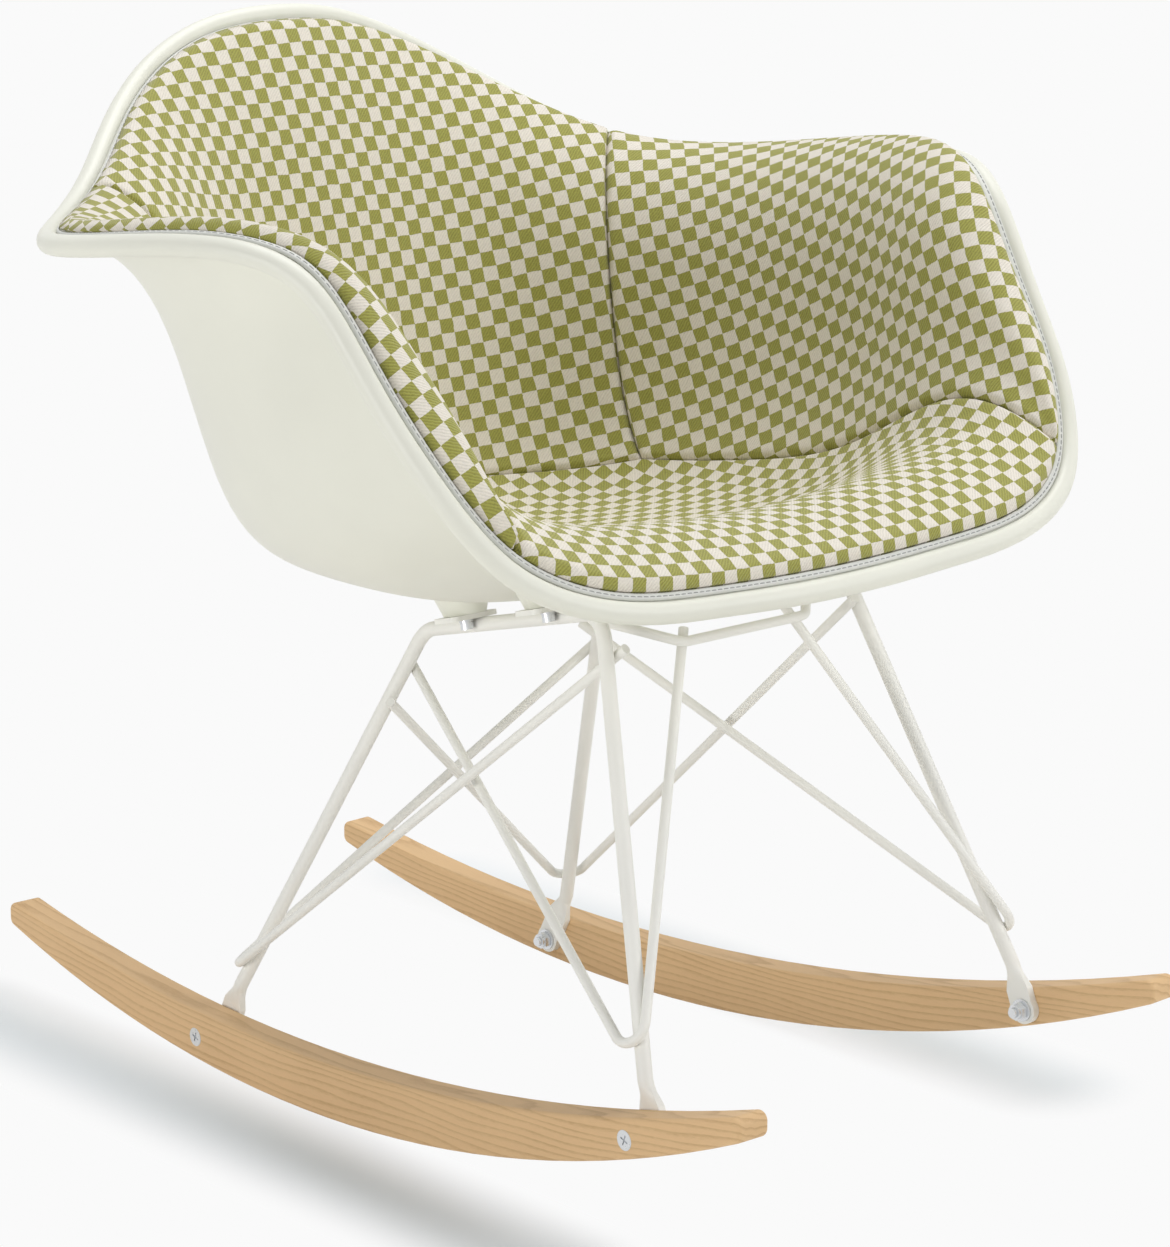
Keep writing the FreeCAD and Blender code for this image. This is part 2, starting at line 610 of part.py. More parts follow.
def near_rim(turn, distance):
    """The u value that lies this far from the rim, along the wall."""
    step = 0.01
    u = 1.0
    left = distance
    place = form(u, turn)
    while True:
        inner = form(u - step, turn)
        size = (inner - place).Length
        if size >= left:
            return u - step * left / size
        left -= size
        u -= step
        place = inner


def surface(rows, steps_u, steps_v, closed):
    """Cubic surface through a net of points, row by row, closed round the rows if asked."""
    lines = []
    poles = []
    for row in reversed(rows):
        if (row[0] - row[len(row) // 3]).Length < 1e-6:
            poles.insert(0, [row[0]] * len(poles[0]))
            continue
        curve = Part.BSplineCurve()
        curve.interpolate(Points=row, PeriodicFlag=closed, Parameters=steps_v)
        lines.append(curve)
        poles.insert(0, curve.getPoles())
    columns = []
    for k in range(len(poles[0])):
        curve = Part.BSplineCurve()
        curve.interpolate(Points=[line[k] for line in poles], PeriodicFlag=False, Parameters=steps_u)
        columns.append(curve)
    net = [[column.getPoles()[i] for column in columns] for i in range(len(columns[0].getPoles()))]
    result = Part.BSplineSurface()
    result.buildFromPolesMultsKnots(net, columns[0].getMultiplicities(), lines[0].getMultiplicities(),
                                    columns[0].getKnots(), lines[0].getKnots(), False, closed,
                                    columns[0].Degree, lines[0].Degree)
    return result


HALF_TURNS = [0.0, 10.0, 20.0, 30.0, 38.0, 45.0, 51.5, 58.0, 64.5, 71.0, 78.0, 88.0, 99.0, 110.0, 121.0,
              133.0, 145.0, 157.0, 168.5]
TURNS = HALF_TURNS + [180.0] + [360.0 - turn for turn in reversed(HALF_TURNS[1:])]
TURN_STEPS = TURNS + [360.0]
WALL_STEPS = [0.0, 0.1, 0.21, 0.32, 0.43, 0.54, 0.65, 0.76, 0.86, 0.94, 1.0]
WALL_COUNT = len(WALL_STEPS)


def ring_rows(count, place):
    return [[place(i, turn) for turn in TURNS] for i in range(count)]


WALL_T = val("shell_wall")
BEAD = val("bead_round")
SHIFT = val("bead_shift")
in_drop = math.sqrt(BEAD ** 2 - (SHIFT + WALL_T / 2.0) ** 2)
out_drop = math.sqrt(BEAD ** 2 - (SHIFT - WALL_T / 2.0) ** 2)


def wall_point(i, turn, off, drop):
    return skin(WALL_STEPS[i] * near_rim(turn, drop), turn, off)


inner_face = surface(ring_rows(WALL_COUNT, lambda i, t: wall_point(i, t, -WALL_T / 2.0, in_drop)),
                     WALL_STEPS, TURN_STEPS, True)
outer_face = surface(ring_rows(WALL_COUNT, lambda i, t: wall_point(i, t, WALL_T / 2.0, out_drop)),
                     WALL_STEPS, TURN_STEPS, True)

# The rolled rim goes round from the inner skin to the outer skin.
turn_in = math.atan2(-(SHIFT + WALL_T / 2.0), -in_drop)
turn_out = math.atan2(-(SHIFT - WALL_T / 2.0), -out_drop)
if turn_out < 0:
    turn_out += 2.0 * math.pi
ROLL = 7
ROLL_STEPS = [i / (ROLL - 1.0) for i in range(ROLL)]


def roll_point(i, turn):
    if i == 0:
        return wall_point(WALL_COUNT - 1, turn, -WALL_T / 2.0, in_drop)
    if i == ROLL - 1:
        return wall_point(WALL_COUNT - 1, turn, WALL_T / 2.0, out_drop)
    up, out = slopes(1.0, turn)
    angle = turn_in + (turn_out - turn_in) * ROLL_STEPS[i]
    centre = form(1.0, turn) + out * SHIFT
    return centre + up * (BEAD * math.cos(angle)) + out * (BEAD * math.sin(angle))


roll_face = surface(ring_rows(ROLL, roll_point), ROLL_STEPS, TURN_STEPS, True)


def solid_of(surfaces, what):
    """Sew faces to one closed solid, turned right side out."""
    faces = [s if isinstance(s, Part.Face) else s.toShape() for s in surfaces]
    shell = Part.makeShell(faces)
    shell.sewShape()
    if shell.ShapeType != "Shell":
        shell = shell.Shells[0]
    solid = Part.makeSolid(shell)
    if solid.Volume < 0:
        solid.reverse()
    if not solid.isValid():
        solid.fix(0.001, 0.001, 0.001)
    print("%s: solid %s, valid %s, %.1f cm3" % (what, solid.ShapeType, solid.isValid(),
                                                solid.Volume / 1000.0))
    return solid


shell_skin = solid_of([inner_face, outer_face, roll_face], "shell")

# ---------------------------------------------------------------- shell mounts
MOUNTS = []
for mount_y in (val("mount_rear_y"), val("mount_front_y")):
    share = (mount_y - RAIL_R.y) / (RAIL_F.y - RAIL_R.y)
    centre = RAIL_R + (RAIL_F - RAIL_R) * share
    MOUNTS.append(V(centre.x + val("mount_out"), centre.y, centre.z))
rail_run = (RAIL_F - RAIL_R).normalize()
plate_up = V(1, 0, 0).cross(rail_run)
if plate_up.z < 0:
    plate_up = plate_up * -1.0
plate_up.normalize()
plate_low = ROD / 2.0 + GAP
THROUGH = ROD * 6.0


def plate_frame(mount):
    """Placement whose Z stands on the plate and whose X points outboard."""
    x_way = V(1, 0, 0)
    y_way = plate_up.cross(x_way)
    turn = FreeCAD.Rotation(x_way, y_way, plate_up, "ZXY")
    return FreeCAD.Placement(mount, turn)


plates = []
bolts = []
rings = []
bosses = []
inserts = []
for mount in MOUNTS:
    frame = plate_frame(mount)
    hole = val("bolt_dia") / 2.0 + val("hole_play")
    half_long = val("plate_long") / 2.0
    half_wide = val("plate_wide") / 2.0
    plate = Part.makeBox(half_long * 2, half_wide * 2, val("plate_thick"),
                         V(-half_long, -half_wide, plate_low))
    uprights = [e for e in plate.Edges if e.BoundBox.ZLength > val("plate_thick") * 0.9]
    plate = plate.makeFillet(val("plate_corner"), uprights)
    plate = plate.cut(Part.makeCylinder(hole, THROUGH, V(0, 0, -THROUGH / 2.0)))
    ring = Part.makeCylinder(val("mount_washer_dia") / 2.0, val("washer_thick"),
                             V(0, 0, plate_low - GAP - val("washer_thick")))
    plates.append(plate)
    ring = ring.cut(Part.makeCylinder(hole, THROUGH, V(0, 0, -THROUGH / 2.0)))
    rings.append(ring)
    top = plate_low + val("plate_thick") + GAP
    under = plate_low - 2 * GAP - val("washer_thick")
    head = Part.makeCylinder(val("bolt_head_dia") / 2.0, val("bolt_head_tall"),
                             V(0, 0, under - val("bolt_head_tall")))
    shank = Part.makeCylinder(val("bolt_dia") / 2.0, top - under + val("insert_deep") - val("bolt_short"),
                              V(0, 0, under))
    socket = hexagon(val("bolt_key_dia") / 2.0, val("bolt_key_deep"),
                     V(0, 0, under - val("bolt_head_tall")), V(0, 0, 1))
    bolts.append(head.fuse(shank).cut(socket))
    boss = Part.makeCone(val("boss_dia") / 2.0, val("boss_dia") / 2.0 + val("boss_flare"),
                         val("boss_tall"), V(0, 0, top))
    pocket = Part.makeCylinder(val("insert_dia") / 2.0, val("insert_deep"), V(0, 0, top))
    play = val("insert_play")
    insert = Part.makeCylinder(val("insert_dia") / 2.0 - play, val("insert_deep") - play, V(0, 0, top))
    insert = insert.cut(Part.makeCylinder(val("bolt_dia") / 2.0 + play, THROUGH, V(0, 0, 0)))
    inserts.append(insert)
    bosses.append((boss, pocket))
    for group in (plates, rings, bolts, inserts):
        group[-1].Placement = frame.multiply(group[-1].Placement)
    boss.Placement = frame.multiply(boss.Placement)
    pocket.Placement = frame.multiply(pocket.Placement)

# The bosses stop at the outer skin, so nothing shows inside the shell.
shell_shape = shell_skin
for boss, pocket in bosses:
    for piece in (boss, mirror_x(boss)):
        outside = piece.cut(shell_skin)
        lowest = min(outside.Solids, key=lambda s: s.CenterOfMass.z)
        shell_shape = shell_shape.fuse(lowest)
    for piece in (pocket, mirror_x(pocket)):
        shell_shape = shell_shape.cut(piece)
shape_node("shell", shell_shape)
shape_node("threaded_inserts", Part.makeCompound(inserts + [mirror_x(s) for s in inserts]))
names = ["rear", "front"]
for i in (0, 1):
    shape_node("mount_plate_%s_right" % names[i], plates[i])
    shape_node("mount_plate_%s_left" % names[i], mirror_x(plates[i]))
shape_node("mount_washers", Part.makeCompound(rings + [mirror_x(s) for s in rings]))
shape_node("mount_bolts", Part.makeCompound(bolts + [mirror_x(s) for s in bolts]))

# ---------------------------------------------------------------- stitched band beside the rim
SKIN_IN = -WALL_T / 2.0 - val("pad_gap")
TRIM_A = val("trim_from")
TRIM_B = TRIM_A + val("trim_wide")
TRIM_T = val("trim_thick")


def trim_point(turn, away, share):
    return skin(near_rim(turn, away), turn, SKIN_IN - TRIM_T * share)


def trim_rows(profile):
    return [[trim_point(turn, away, share) for turn in TURNS] for away, share in profile]


wide = val("trim_wide")
profiles = [
    [(TRIM_A, 0.0), (TRIM_B, 0.0)],
    [(TRIM_B, 0.0), (TRIM_B, 0.6)],
    [(TRIM_B - wide * k, 0.6 + 0.4 * math.sin(math.pi * k)) for k in (0.0, 0.2, 0.5, 0.8, 1.0)],
    [(TRIM_A, 0.6), (TRIM_A, 0.0)],
]
trim_faces = []
for profile in profiles:
    count = len(profile)
    trim_faces.append(surface(trim_rows(profile), [i / (count - 1.0) for i in range(count)],
                              TURN_STEPS, True))
shape_node("edge_trim", solid_of(trim_faces, "edge_trim"))


# ---------------------------------------------------------------- pads
def plan(u, turn):
    """Flat map of the bowl in which the seams are drawn."""
    return (u * math.sin(math.radians(turn)), -u * math.cos(math.radians(turn)))


def unplan(x, y):
    return math.hypot(x, y), math.degrees(math.atan2(x, -y)) % 360.0


PAD_RIM = TRIM_B + val("pad_gap")
MAP_MM = 400.0  # the flat map's unit, about, in mm


def rim_u(turn):
    return near_rim(turn, PAD_RIM)


front_turn = val("seam_front_turn")
back_turn = val("seam_rim_turn")
corner = plan(val("seam_reach"), val("seam_turn"))
front_end = plan(rim_u(front_turn), front_turn)
middle_turn = (front_turn + val("seam_turn")) / 2.0
side_mid = plan(val("seam_side"), middle_turn)
back_mid = plan(val("seam_back"), 180.0)


def bow(a, through, b, k):
    """Quadratic curve from a through a middle place to b."""
    ctrl = (2 * through[0] - (a[0] + b[0]) / 2.0, 2 * through[1] - (a[1] + b[1]) / 2.0)
    return tuple((1 - k) ** 2 * a[i] + 2 * k * (1 - k) * ctrl[i] + k * k * b[i] for i in (0, 1))


def side_seam(k):
    """Right arm seam from the front of the rim back to the corner."""
    return bow(front_end, side_mid, corner, k)


def back_seam(k):
    """Seat and back seam from the right corner to the left corner."""
    return bow(corner, back_mid, (-corner[0], corner[1]), k)


def crown(k):
    return 1.0 - abs(2.0 * k - 1.0) ** 4


PAD_STEPS_S = [0.0, 0.03, 0.08, 0.15, 0.25, 0.37, 0.5, 0.63, 0.75, 0.85, 0.92, 0.97, 1.0]
PAD_STEPS_T = [0.0, 0.035, 0.09, 0.17, 0.28, 0.42, 0.58, 0.72, 0.83, 0.91, 0.965, 1.0]


def pad(label, where, thick, gap):
    """A padded panel: where(s, t) gives its place in the flat map."""
    edge = val("pad_edge")
    inset = gap / 500.0

    def place(s, t, lift):
        s = inset + (1.0 - 2.0 * inset) * s
        t = inset + (1.0 - 2.0 * inset) * t
        u, turn = unplan(*where(s, t))
        return skin(u, turn, SKIN_IN - lift)

    def rows(lift):
        return [[place(s, t, lift(s, t)) for t in PAD_STEPS_T] for s in PAD_STEPS_S]

    low = surface(rows(lambda s, t: 0.0), PAD_STEPS_S, PAD_STEPS_T, False)
    high = surface(rows(lambda s, t: edge + (thick - edge) * crown(s) * crown(t)),
                   PAD_STEPS_S, PAD_STEPS_T, False)
    sides = []
    for s in (0.0, 1.0):
        sides.append(Part.makeRuledSurface(low.uIso(s).toShape(), high.uIso(s).toShape()))
    for t in (0.0, 1.0):
        sides.append(Part.makeRuledSurface(low.vIso(t).toShape(), high.vIso(t).toShape()))
    return solid_of([low, high] + [f.Faces[0] for f in sides], label)


def arm_place(s, t):
    seam = side_seam(0.06 + 0.94 * s)
    turn = front_turn + 3.0 + (back_turn - front_turn - 3.0) * s
    rim = plan(rim_u(turn), turn)
    shrink = val("pad_gap") / MAP_MM
    t = shrink + (1.0 - shrink) * t
    return tuple(seam[i] + (rim[i] - seam[i]) * t for i in (0, 1))


def back_place(s, t):
    seam = back_seam(s)
    turn = back_turn + (360.0 - 2.0 * back_turn) * s
    rim = plan(rim_u(turn), turn)
    return tuple(seam[i] + (rim[i] - seam[i]) * t for i in (0, 1))


def seat_place(s, t):
    """Coons patch: s from right to left, t from the front rim to the back seam."""
    turn = front_turn * (1.0 - 2.0 * s)
    front = plan(rim_u(turn), turn)
    back = back_seam(s)
    right = side_seam(t)
    left = (-right[0], right[1])
    result = []
    for i in (0, 1):
        ends = ((1 - s) * (1 - t) * front_end[i] + s * (1 - t) * (-front_end[i] if i == 0 else front_end[i])
                + (1 - s) * t * corner[i] + s * t * (-corner[i] if i == 0 else corner[i]))
        result.append((1 - t) * front[i] + t * back[i] + (1 - s) * right[i] + s * left[i] - ends)
    return tuple(result)


seam_gap = val("pad_gap")
arm = pad("pad_arm_right", arm_place, val("arm_pad_thick"), seam_gap)
shape_node("pad_arm_right", arm)
shape_node("pad_arm_left", mirror_x(arm))
shape_node("pad_back", pad("pad_back", back_place, val("back_pad_thick"), seam_gap))
shape_node("pad_seat", pad("pad_seat", seat_place, val("seat_pad_thick"), seam_gap))

# ---------------------------------------------------------------- check and write
doc.recompute()
for obj in doc.Objects:
    if "Invalid" in obj.State or "Error" in obj.State:
        raise RuntimeError("%s failed: %s" % (obj.Label, obj.State))
os.makedirs("parts", exist_ok=True)
for obj in NODES:
    if obj.Shape.isNull() or not obj.Shape.isValid():
        raise RuntimeError("%s has no valid shape" % obj.Label)
    obj.Shape.exportStep("parts/%s.step" % obj.Label)
whole = Part.makeCompound([obj.Shape for obj in NODES]).BoundBox
print("nodes", len(NODES), "size %.1f x %.1f x %.1f" % (whole.XLength, whole.YLength, whole.ZLength))
print("box", [round(n, 1) for n in (whole.XMin, whole.YMin, whole.ZMin, whole.XMax, whole.YMax, whole.ZMax)])
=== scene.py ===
import json
import math

import bmesh
import bpy
import numpy as np
from bpy.props import FloatProperty, FloatVectorProperty, PointerProperty, StringProperty
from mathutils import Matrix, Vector

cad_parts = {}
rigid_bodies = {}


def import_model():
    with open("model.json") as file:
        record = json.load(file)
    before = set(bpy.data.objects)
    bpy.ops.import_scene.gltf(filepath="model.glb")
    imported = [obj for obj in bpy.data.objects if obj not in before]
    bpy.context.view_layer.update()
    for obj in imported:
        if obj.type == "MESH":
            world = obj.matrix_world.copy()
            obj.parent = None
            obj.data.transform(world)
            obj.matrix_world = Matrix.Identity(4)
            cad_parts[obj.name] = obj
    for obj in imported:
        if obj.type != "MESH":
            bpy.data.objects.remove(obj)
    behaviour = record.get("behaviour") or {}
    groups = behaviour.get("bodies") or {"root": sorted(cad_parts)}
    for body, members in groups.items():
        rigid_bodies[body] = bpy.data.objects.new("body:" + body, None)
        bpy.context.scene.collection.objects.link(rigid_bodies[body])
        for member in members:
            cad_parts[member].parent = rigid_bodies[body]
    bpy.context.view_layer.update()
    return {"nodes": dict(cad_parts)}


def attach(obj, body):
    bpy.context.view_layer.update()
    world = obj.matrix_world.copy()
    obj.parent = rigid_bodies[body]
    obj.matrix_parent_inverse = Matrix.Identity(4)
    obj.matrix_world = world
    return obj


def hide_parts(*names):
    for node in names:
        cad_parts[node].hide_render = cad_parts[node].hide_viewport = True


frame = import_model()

bl_info = {
    "name": "Rocking Armchair",
    "version": (1, 0, 0),
    "blender": (4, 5, 0),
    "location": "View3D > Sidebar > Chair",
    "description": "Rocking armchair: check upholstery, stitched edge, wire base, ash rockers",
    "category": "Object",
}

NODES = frame["nodes"]
MM = 0.001  # the forms below are worked out in millimetres, the scene is in metres

# ------------------------------------------------------------------ the bowl's form
# Degrees from the front, distance from the pole, height (mm).
RIM = [
    (0, 260, 359), (24, 282, 363), (39, 317, 380), (46, 325, 407), (52, 321, 448), (58, 310, 492),
    (65, 301, 541), (72, 301, 559), (85, 305, 560), (98, 309, 552), (111, 304, 546),
    (123, 285, 551), (136, 271.5, 572), (150, 272, 606), (165, 267, 639), (180, 258, 649),
]
# Degrees from the front, then the control points of the wall's cubic profile (mm).
WALL = [
    (0, 45, 90, 326, 140, 344, 190, 386, -24, 17),
    (38, 48, 106, 328, 172, 354, 236, 398, -30, 16),
    (60, 50, 118, 328, 188, 350, 248, 410, -28, 12),
    (90, 50, 120, 329, 190, 350, 229, 438, -50, 7),
    (132, 50, 120, 326, 182, 344, 205, 438, -48, -9),
    (180, 48, 118, 324, 163, 350, 188, 475, -26, -46),
]
POLE = 324.0  # height of the bowl's lowest place
WALL_T = 4.4
PAD_GAP = 0.4
KNOTS = [0.0] * 4 + [0.25, 0.5, 0.75] + [1.0] * 4
LOW_PART = 0.3  # up to this u, directions come from the flat map, which is smooth at the pole
MAP_STEP, CLIMB_STEP, TURN_STEP = 0.02, 0.002, 0.2  # steps of the slopes: flat map, u, degrees


def smooth_curve(stations):
    """Cubic curve through (degrees, value) stations, even about 0 and 180 degrees, as a table."""
    xs, ys = np.array(stations, float).T
    count = len(xs)
    matrix = np.zeros((count, count))
    rhs = np.zeros(count)
    matrix[0, 0] = matrix[-1, -1] = 1.0
    for i in range(1, count - 1):
        left = xs[i] - xs[i - 1]
        right = xs[i + 1] - xs[i]
        matrix[i, i - 1:i + 2] = right, 2.0 * (left + right), left
        rhs[i] = 3.0 * (right * (ys[i] - ys[i - 1]) / left + left * (ys[i + 1] - ys[i]) / right)
    slope = np.linalg.solve(matrix, rhs)

    def value(turn):
        turn = np.abs((np.asarray(turn, float) + 180.0) % 360.0 - 180.0)
        i = np.clip(np.searchsorted(xs, turn, side="right") - 1, 0, count - 2)
        span = xs[i + 1] - xs[i]
        k = (turn - xs[i]) / span
        return (ys[i] * (1 + 2 * k) * (1 - k) ** 2 + slope[i] * span * k * (1 - k) ** 2
                + ys[i + 1] * k * k * (3 - 2 * k) + slope[i + 1] * span * k * k * (k - 1))
    return value


rim_reach = smooth_curve([(row[0], row[1]) for row in RIM])
rim_tall = smooth_curve([(row[0], row[2]) for row in RIM])
wall_curves = [smooth_curve([(row[0], row[i]) for row in WALL]) for i in range(1, 10)]


def blends(u):
    """Shares of the seven control points of a clamped cubic."""
    spans = len(KNOTS) - 1
    shares = [np.where((u >= KNOTS[i]) & (u < KNOTS[i + 1]), 1.0, 0.0) for i in range(spans)]
    for degree in (1, 2, 3):
        upper = []
        for i in range(spans - degree):
            share = np.zeros_like(u)
            if KNOTS[i + degree] > KNOTS[i]:
                share = share + (u - KNOTS[i]) / (KNOTS[i + degree] - KNOTS[i]) * shares[i]
            if KNOTS[i + degree + 1] > KNOTS[i + 1]:
                share = share + ((KNOTS[i + degree + 1] - u)
                                 / (KNOTS[i + degree + 1] - KNOTS[i + 1]) * shares[i + 1])
            upper.append(share)
        shares = upper
    return shares


def form(u, turn):
    """Middle surface of the wall, mm: u runs from the pole (0) to the rim (1)."""
    u, turn = np.broadcast_arrays(np.clip(u, 0.0, 1.0 - 1e-9), np.asarray(turn, float))
    r1, r2, z2, r3, z3, r4, z4, r5, z5 = [curve(turn) for curve in wall_curves]
    rim, top = rim_reach(turn), rim_tall(turn)
    far = (np.zeros_like(rim), r1, r2, r3, r4, rim + r5, rim)
    high = (POLE, POLE, z2, z3, z4, top + z5, top)
    shares = blends(u)
    reach = sum(share * place for share, place in zip(shares, far))
    tall = sum(share * place for share, place in zip(shares, high))
    angle = np.radians(turn)
    return np.stack([reach * np.sin(angle), -reach * np.cos(angle), tall], -1)


def unit(v):
    """Vectors of length 1."""
    return v / np.maximum(np.linalg.norm(v, axis=-1, keepdims=True), 1e-12)


def form_at(x, y):
    """The same surface from a place in its flat map."""
    return form(np.hypot(x, y), np.degrees(np.arctan2(x, -y)))


def slopes(u, turn):
    """Directions up the wall and out of it."""
    u = np.asarray(u, float)
    turn = np.asarray(turn, float)
    angle = np.radians(turn)
    flat = np.stack([np.sin(angle), -np.cos(angle), np.zeros_like(angle)], -1)
    x, y = u * np.sin(angle), -u * np.cos(angle)
    out_low = unit(np.cross(form_at(x, y + MAP_STEP) - form_at(x, y - MAP_STEP),
                            form_at(x + MAP_STEP, y) - form_at(x - MAP_STEP, y)))
    up_low = unit(flat - out_low * np.sum(flat * out_low, -1, keepdims=True))
    upper = np.minimum(u + CLIMB_STEP, 1.0)
    up = unit(form(upper, turn) - form(upper - 2 * CLIMB_STEP, turn))
    out = unit(np.cross(form(u, turn + TURN_STEP) - form(u, turn - TURN_STEP), up))
    low = (u < LOW_PART)[..., None]
    return np.where(low, up_low, up), np.where(low, out_low, out)


def skin(u, turn, off):
    """A place off the middle surface, positive outside, mm."""
    return form(u, turn) + slopes(u, turn)[1] * np.asarray(off, float)[..., None]


def near_rim(turn, distance):
    """The u value that lies this far (mm) from the rim, along the wall."""
    turn = np.atleast_1d(np.asarray(turn, float))
    us = np.linspace(1.0, 0.6, 81)  # far enough down the wall for band and pads, in fine steps
    line = form(us[:, None], turn.ravel())
    run = np.concatenate([np.zeros((1, turn.size)),
                          np.cumsum(np.linalg.norm(np.diff(line, axis=0), axis=-1), axis=0)])
    found = [np.interp(distance, run[:, i], us) for i in range(turn.size)]
    return np.reshape(found, turn.shape)


# ------------------------------------------------------------------ sizes and colours
class UpholsterySettings(bpy.types.PropertyGroup):
    check: FloatProperty(name="Check", description="Side of one square of the check",
                         default=0.0096, unit="LENGTH", precision=4)
    seat_thick: FloatProperty(name="Seat pad", description="Seat pad at its crown",
                              default=0.0115, unit="LENGTH", precision=4)
    back_thick: FloatProperty(name="Back pad", description="Back pad at its crown",
                              default=0.012, unit="LENGTH", precision=4)
    arm_thick: FloatProperty(name="Arm pads", description="Arm pads at their crown",
                             default=0.012, unit="LENGTH", precision=4)
    arm_turn: FloatProperty(name="Arm cloth turn", description="How the check is turned on the arms",
                            default=math.radians(33.0), subtype="ANGLE")
    edge_round: FloatProperty(name="Edge roll", description="How far the cloth rolls over at a seam",
                              default=0.0045, unit="LENGTH", precision=4)
    olive: StringProperty(name="Olive", description="Green yarn, sRGB hex", default="9F9D4C")
    cream: StringProperty(name="Cream", description="Light yarn, sRGB hex", default="EAE3D6")


class EdgeSettings(bpy.types.PropertyGroup):
    band_wide: FloatProperty(name="Band", description="Width of the stitched band",
                             default=0.005, unit="LENGTH", precision=4)
    stitch_pitch: FloatProperty(name="Stitch pitch", description="Length of one stitch",
                                default=0.0046, unit="LENGTH", precision=4)
    edging: StringProperty(name="Edging", description="Edge band, sRGB hex", default="DCDDD8")
    # The thread's grey is partly painted shade: it stands for the shaded holes that the stitches dip
    # into.
    thread: StringProperty(name="Thread", description="Stitches, sRGB hex", default="A4A5A2")


class BodySettings(bpy.types.PropertyGroup):
    plastic: StringProperty(name="Shell", description="Shell plastic, sRGB hex", default="E9E9DD")
    coat: StringProperty(name="Coating", description="Wire coating, sRGB hex", default="F4F3ED")
    zinc: StringProperty(name="Zinc", description="Fasteners, sRGB hex", default="DADCDE")
    ash_light: StringProperty(name="Ash", description="Light wood, sRGB hex", default="DAB78A")
    ash_dark: StringProperty(name="Ash grain", description="Dark grain, sRGB hex", default="B79163")
    ring_width: FloatProperty(name="Grain", description="Distance of the year rings",
                              default=0.0046, unit="LENGTH", precision=4)


class StageSettings(bpy.types.PropertyGroup):
    floor: StringProperty(name="Floor", description="Floor, sRGB hex", default="F5F4F0")
    shadow: StringProperty(name="Shaded floor", description="Floor as the camera sees it, sRGB hex",
                           default="EAF0F4")
    backdrop: StringProperty(name="Backdrop", description="Plain backdrop, sRGB hex", default="FAFAFA")
    lens: FloatProperty(name="Lens", description="Focal length", default=123.07, unit="CAMERA")
    camera: FloatVectorProperty(name="Camera", description="Camera place", subtype="XYZ",
                                unit="LENGTH", default=(-1.5937, -1.8156, 0.8797))
    ahead: FloatVectorProperty(name="Ahead", description="Where the camera looks", subtype="DIRECTION",
                               default=(0.6520, 0.7241, -0.2250))


GROUPS = {"chair_upholstery": UpholsterySettings, "chair_edge": EdgeSettings,
          "chair_body": BodySettings, "chair_stage": StageSettings}


def settings(name):
    """One of the groups above, as the scene holds it."""
    return getattr(bpy.context.scene, name)


# ------------------------------------------------------------------ helpers
def hex_colour(code):
    """sRGB hex to linear RGBA."""
    parts = [int(code[i:i + 2], 16) / 255.0 for i in (0, 2, 4)]
    return tuple(c / 12.92 if c <= 0.04045 else ((c + 0.055) / 1.055) ** 2.4 for c in parts) + (1.0,)


def scaled(colour, factor):
    """A colour made darker or lighter, never past white."""
    return tuple(min(c * factor, 1.0) for c in colour[:3]) + (1.0,)


def grey(value):
    """A plain value in the form that a colour stop takes."""
    return (value, value, value, 1.0)


def new_material(name):
    """A material with nothing but its shader and output."""
    material = bpy.data.materials.new(name)
    material.use_nodes = True
    tree = material.node_tree
    tree.nodes.clear()
    shader = add(tree, "ShaderNodeBsdfPrincipled")
    add(tree, "ShaderNodeOutputMaterial", {"Surface": shader.outputs["BSDF"]})
    return material, tree, shader


def add(tree, kind, links=None, stops=(), **values):
    """Adds a node, sets its properties, inputs and colour stops, and links its inputs."""
    node = tree.nodes.new(kind)
    for key, value in values.items():
        if not key.startswith("in_"):
            setattr(node, key, value)
    for key, value in values.items():
        if key.startswith("in_"):
            name = key[3:]
            socket = node.inputs[int(name)] if name.isdigit() else node.inputs[name.replace("_", " ")]
            socket.default_value = value
    if stops:
        elements = node.color_ramp.elements
        elements.remove(elements[-1])
        elements[0].position, elements[0].color = stops[0]
        for place, colour in stops[1:]:
            elements.new(place).color = colour
    for key, source in (links or {}).items():
        tree.links.new(source, node.inputs[key])
    return node


def mesh_object(name, verts, faces, material, uvs=None):
    """A mesh piece in mm that rides on the chair."""
    mesh = bpy.data.meshes.new(name)
    mesh.from_pydata([tuple(v) for v in np.asarray(verts) * MM], [], faces)
    if uvs is not None:
        layer = mesh.uv_layers.new(name="cloth")
        index = np.zeros(len(mesh.loops), dtype=np.int32)
        mesh.loops.foreach_get("vertex_index", index)
        layer.data.foreach_set("uv", np.asarray(uvs, float)[index].ravel())
    mesh.shade_smooth()
    piece = bpy.data.objects.new(name, mesh)
    bpy.context.scene.collection.objects.link(piece)
    mesh.materials.append(material)
    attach(piece, "root")
    return piece


def outward(mesh):
    """Turns every face of a closed mesh outwards."""
    turned = bmesh.new()
    turned.from_mesh(mesh)
    bmesh.ops.recalc_face_normals(turned, faces=turned.faces)
    turned.to_mesh(mesh)
    turned.free()
    mesh.shade_smooth()


def dress(names, material):
    """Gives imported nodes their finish."""
    for name in names:
        mesh = NODES[name].data
        mesh.materials.clear()
        mesh.materials.append(material)


# ------------------------------------------------------------------ finishes
TOUCH_Y = 0.082  # where the rockers touch the floor, metres


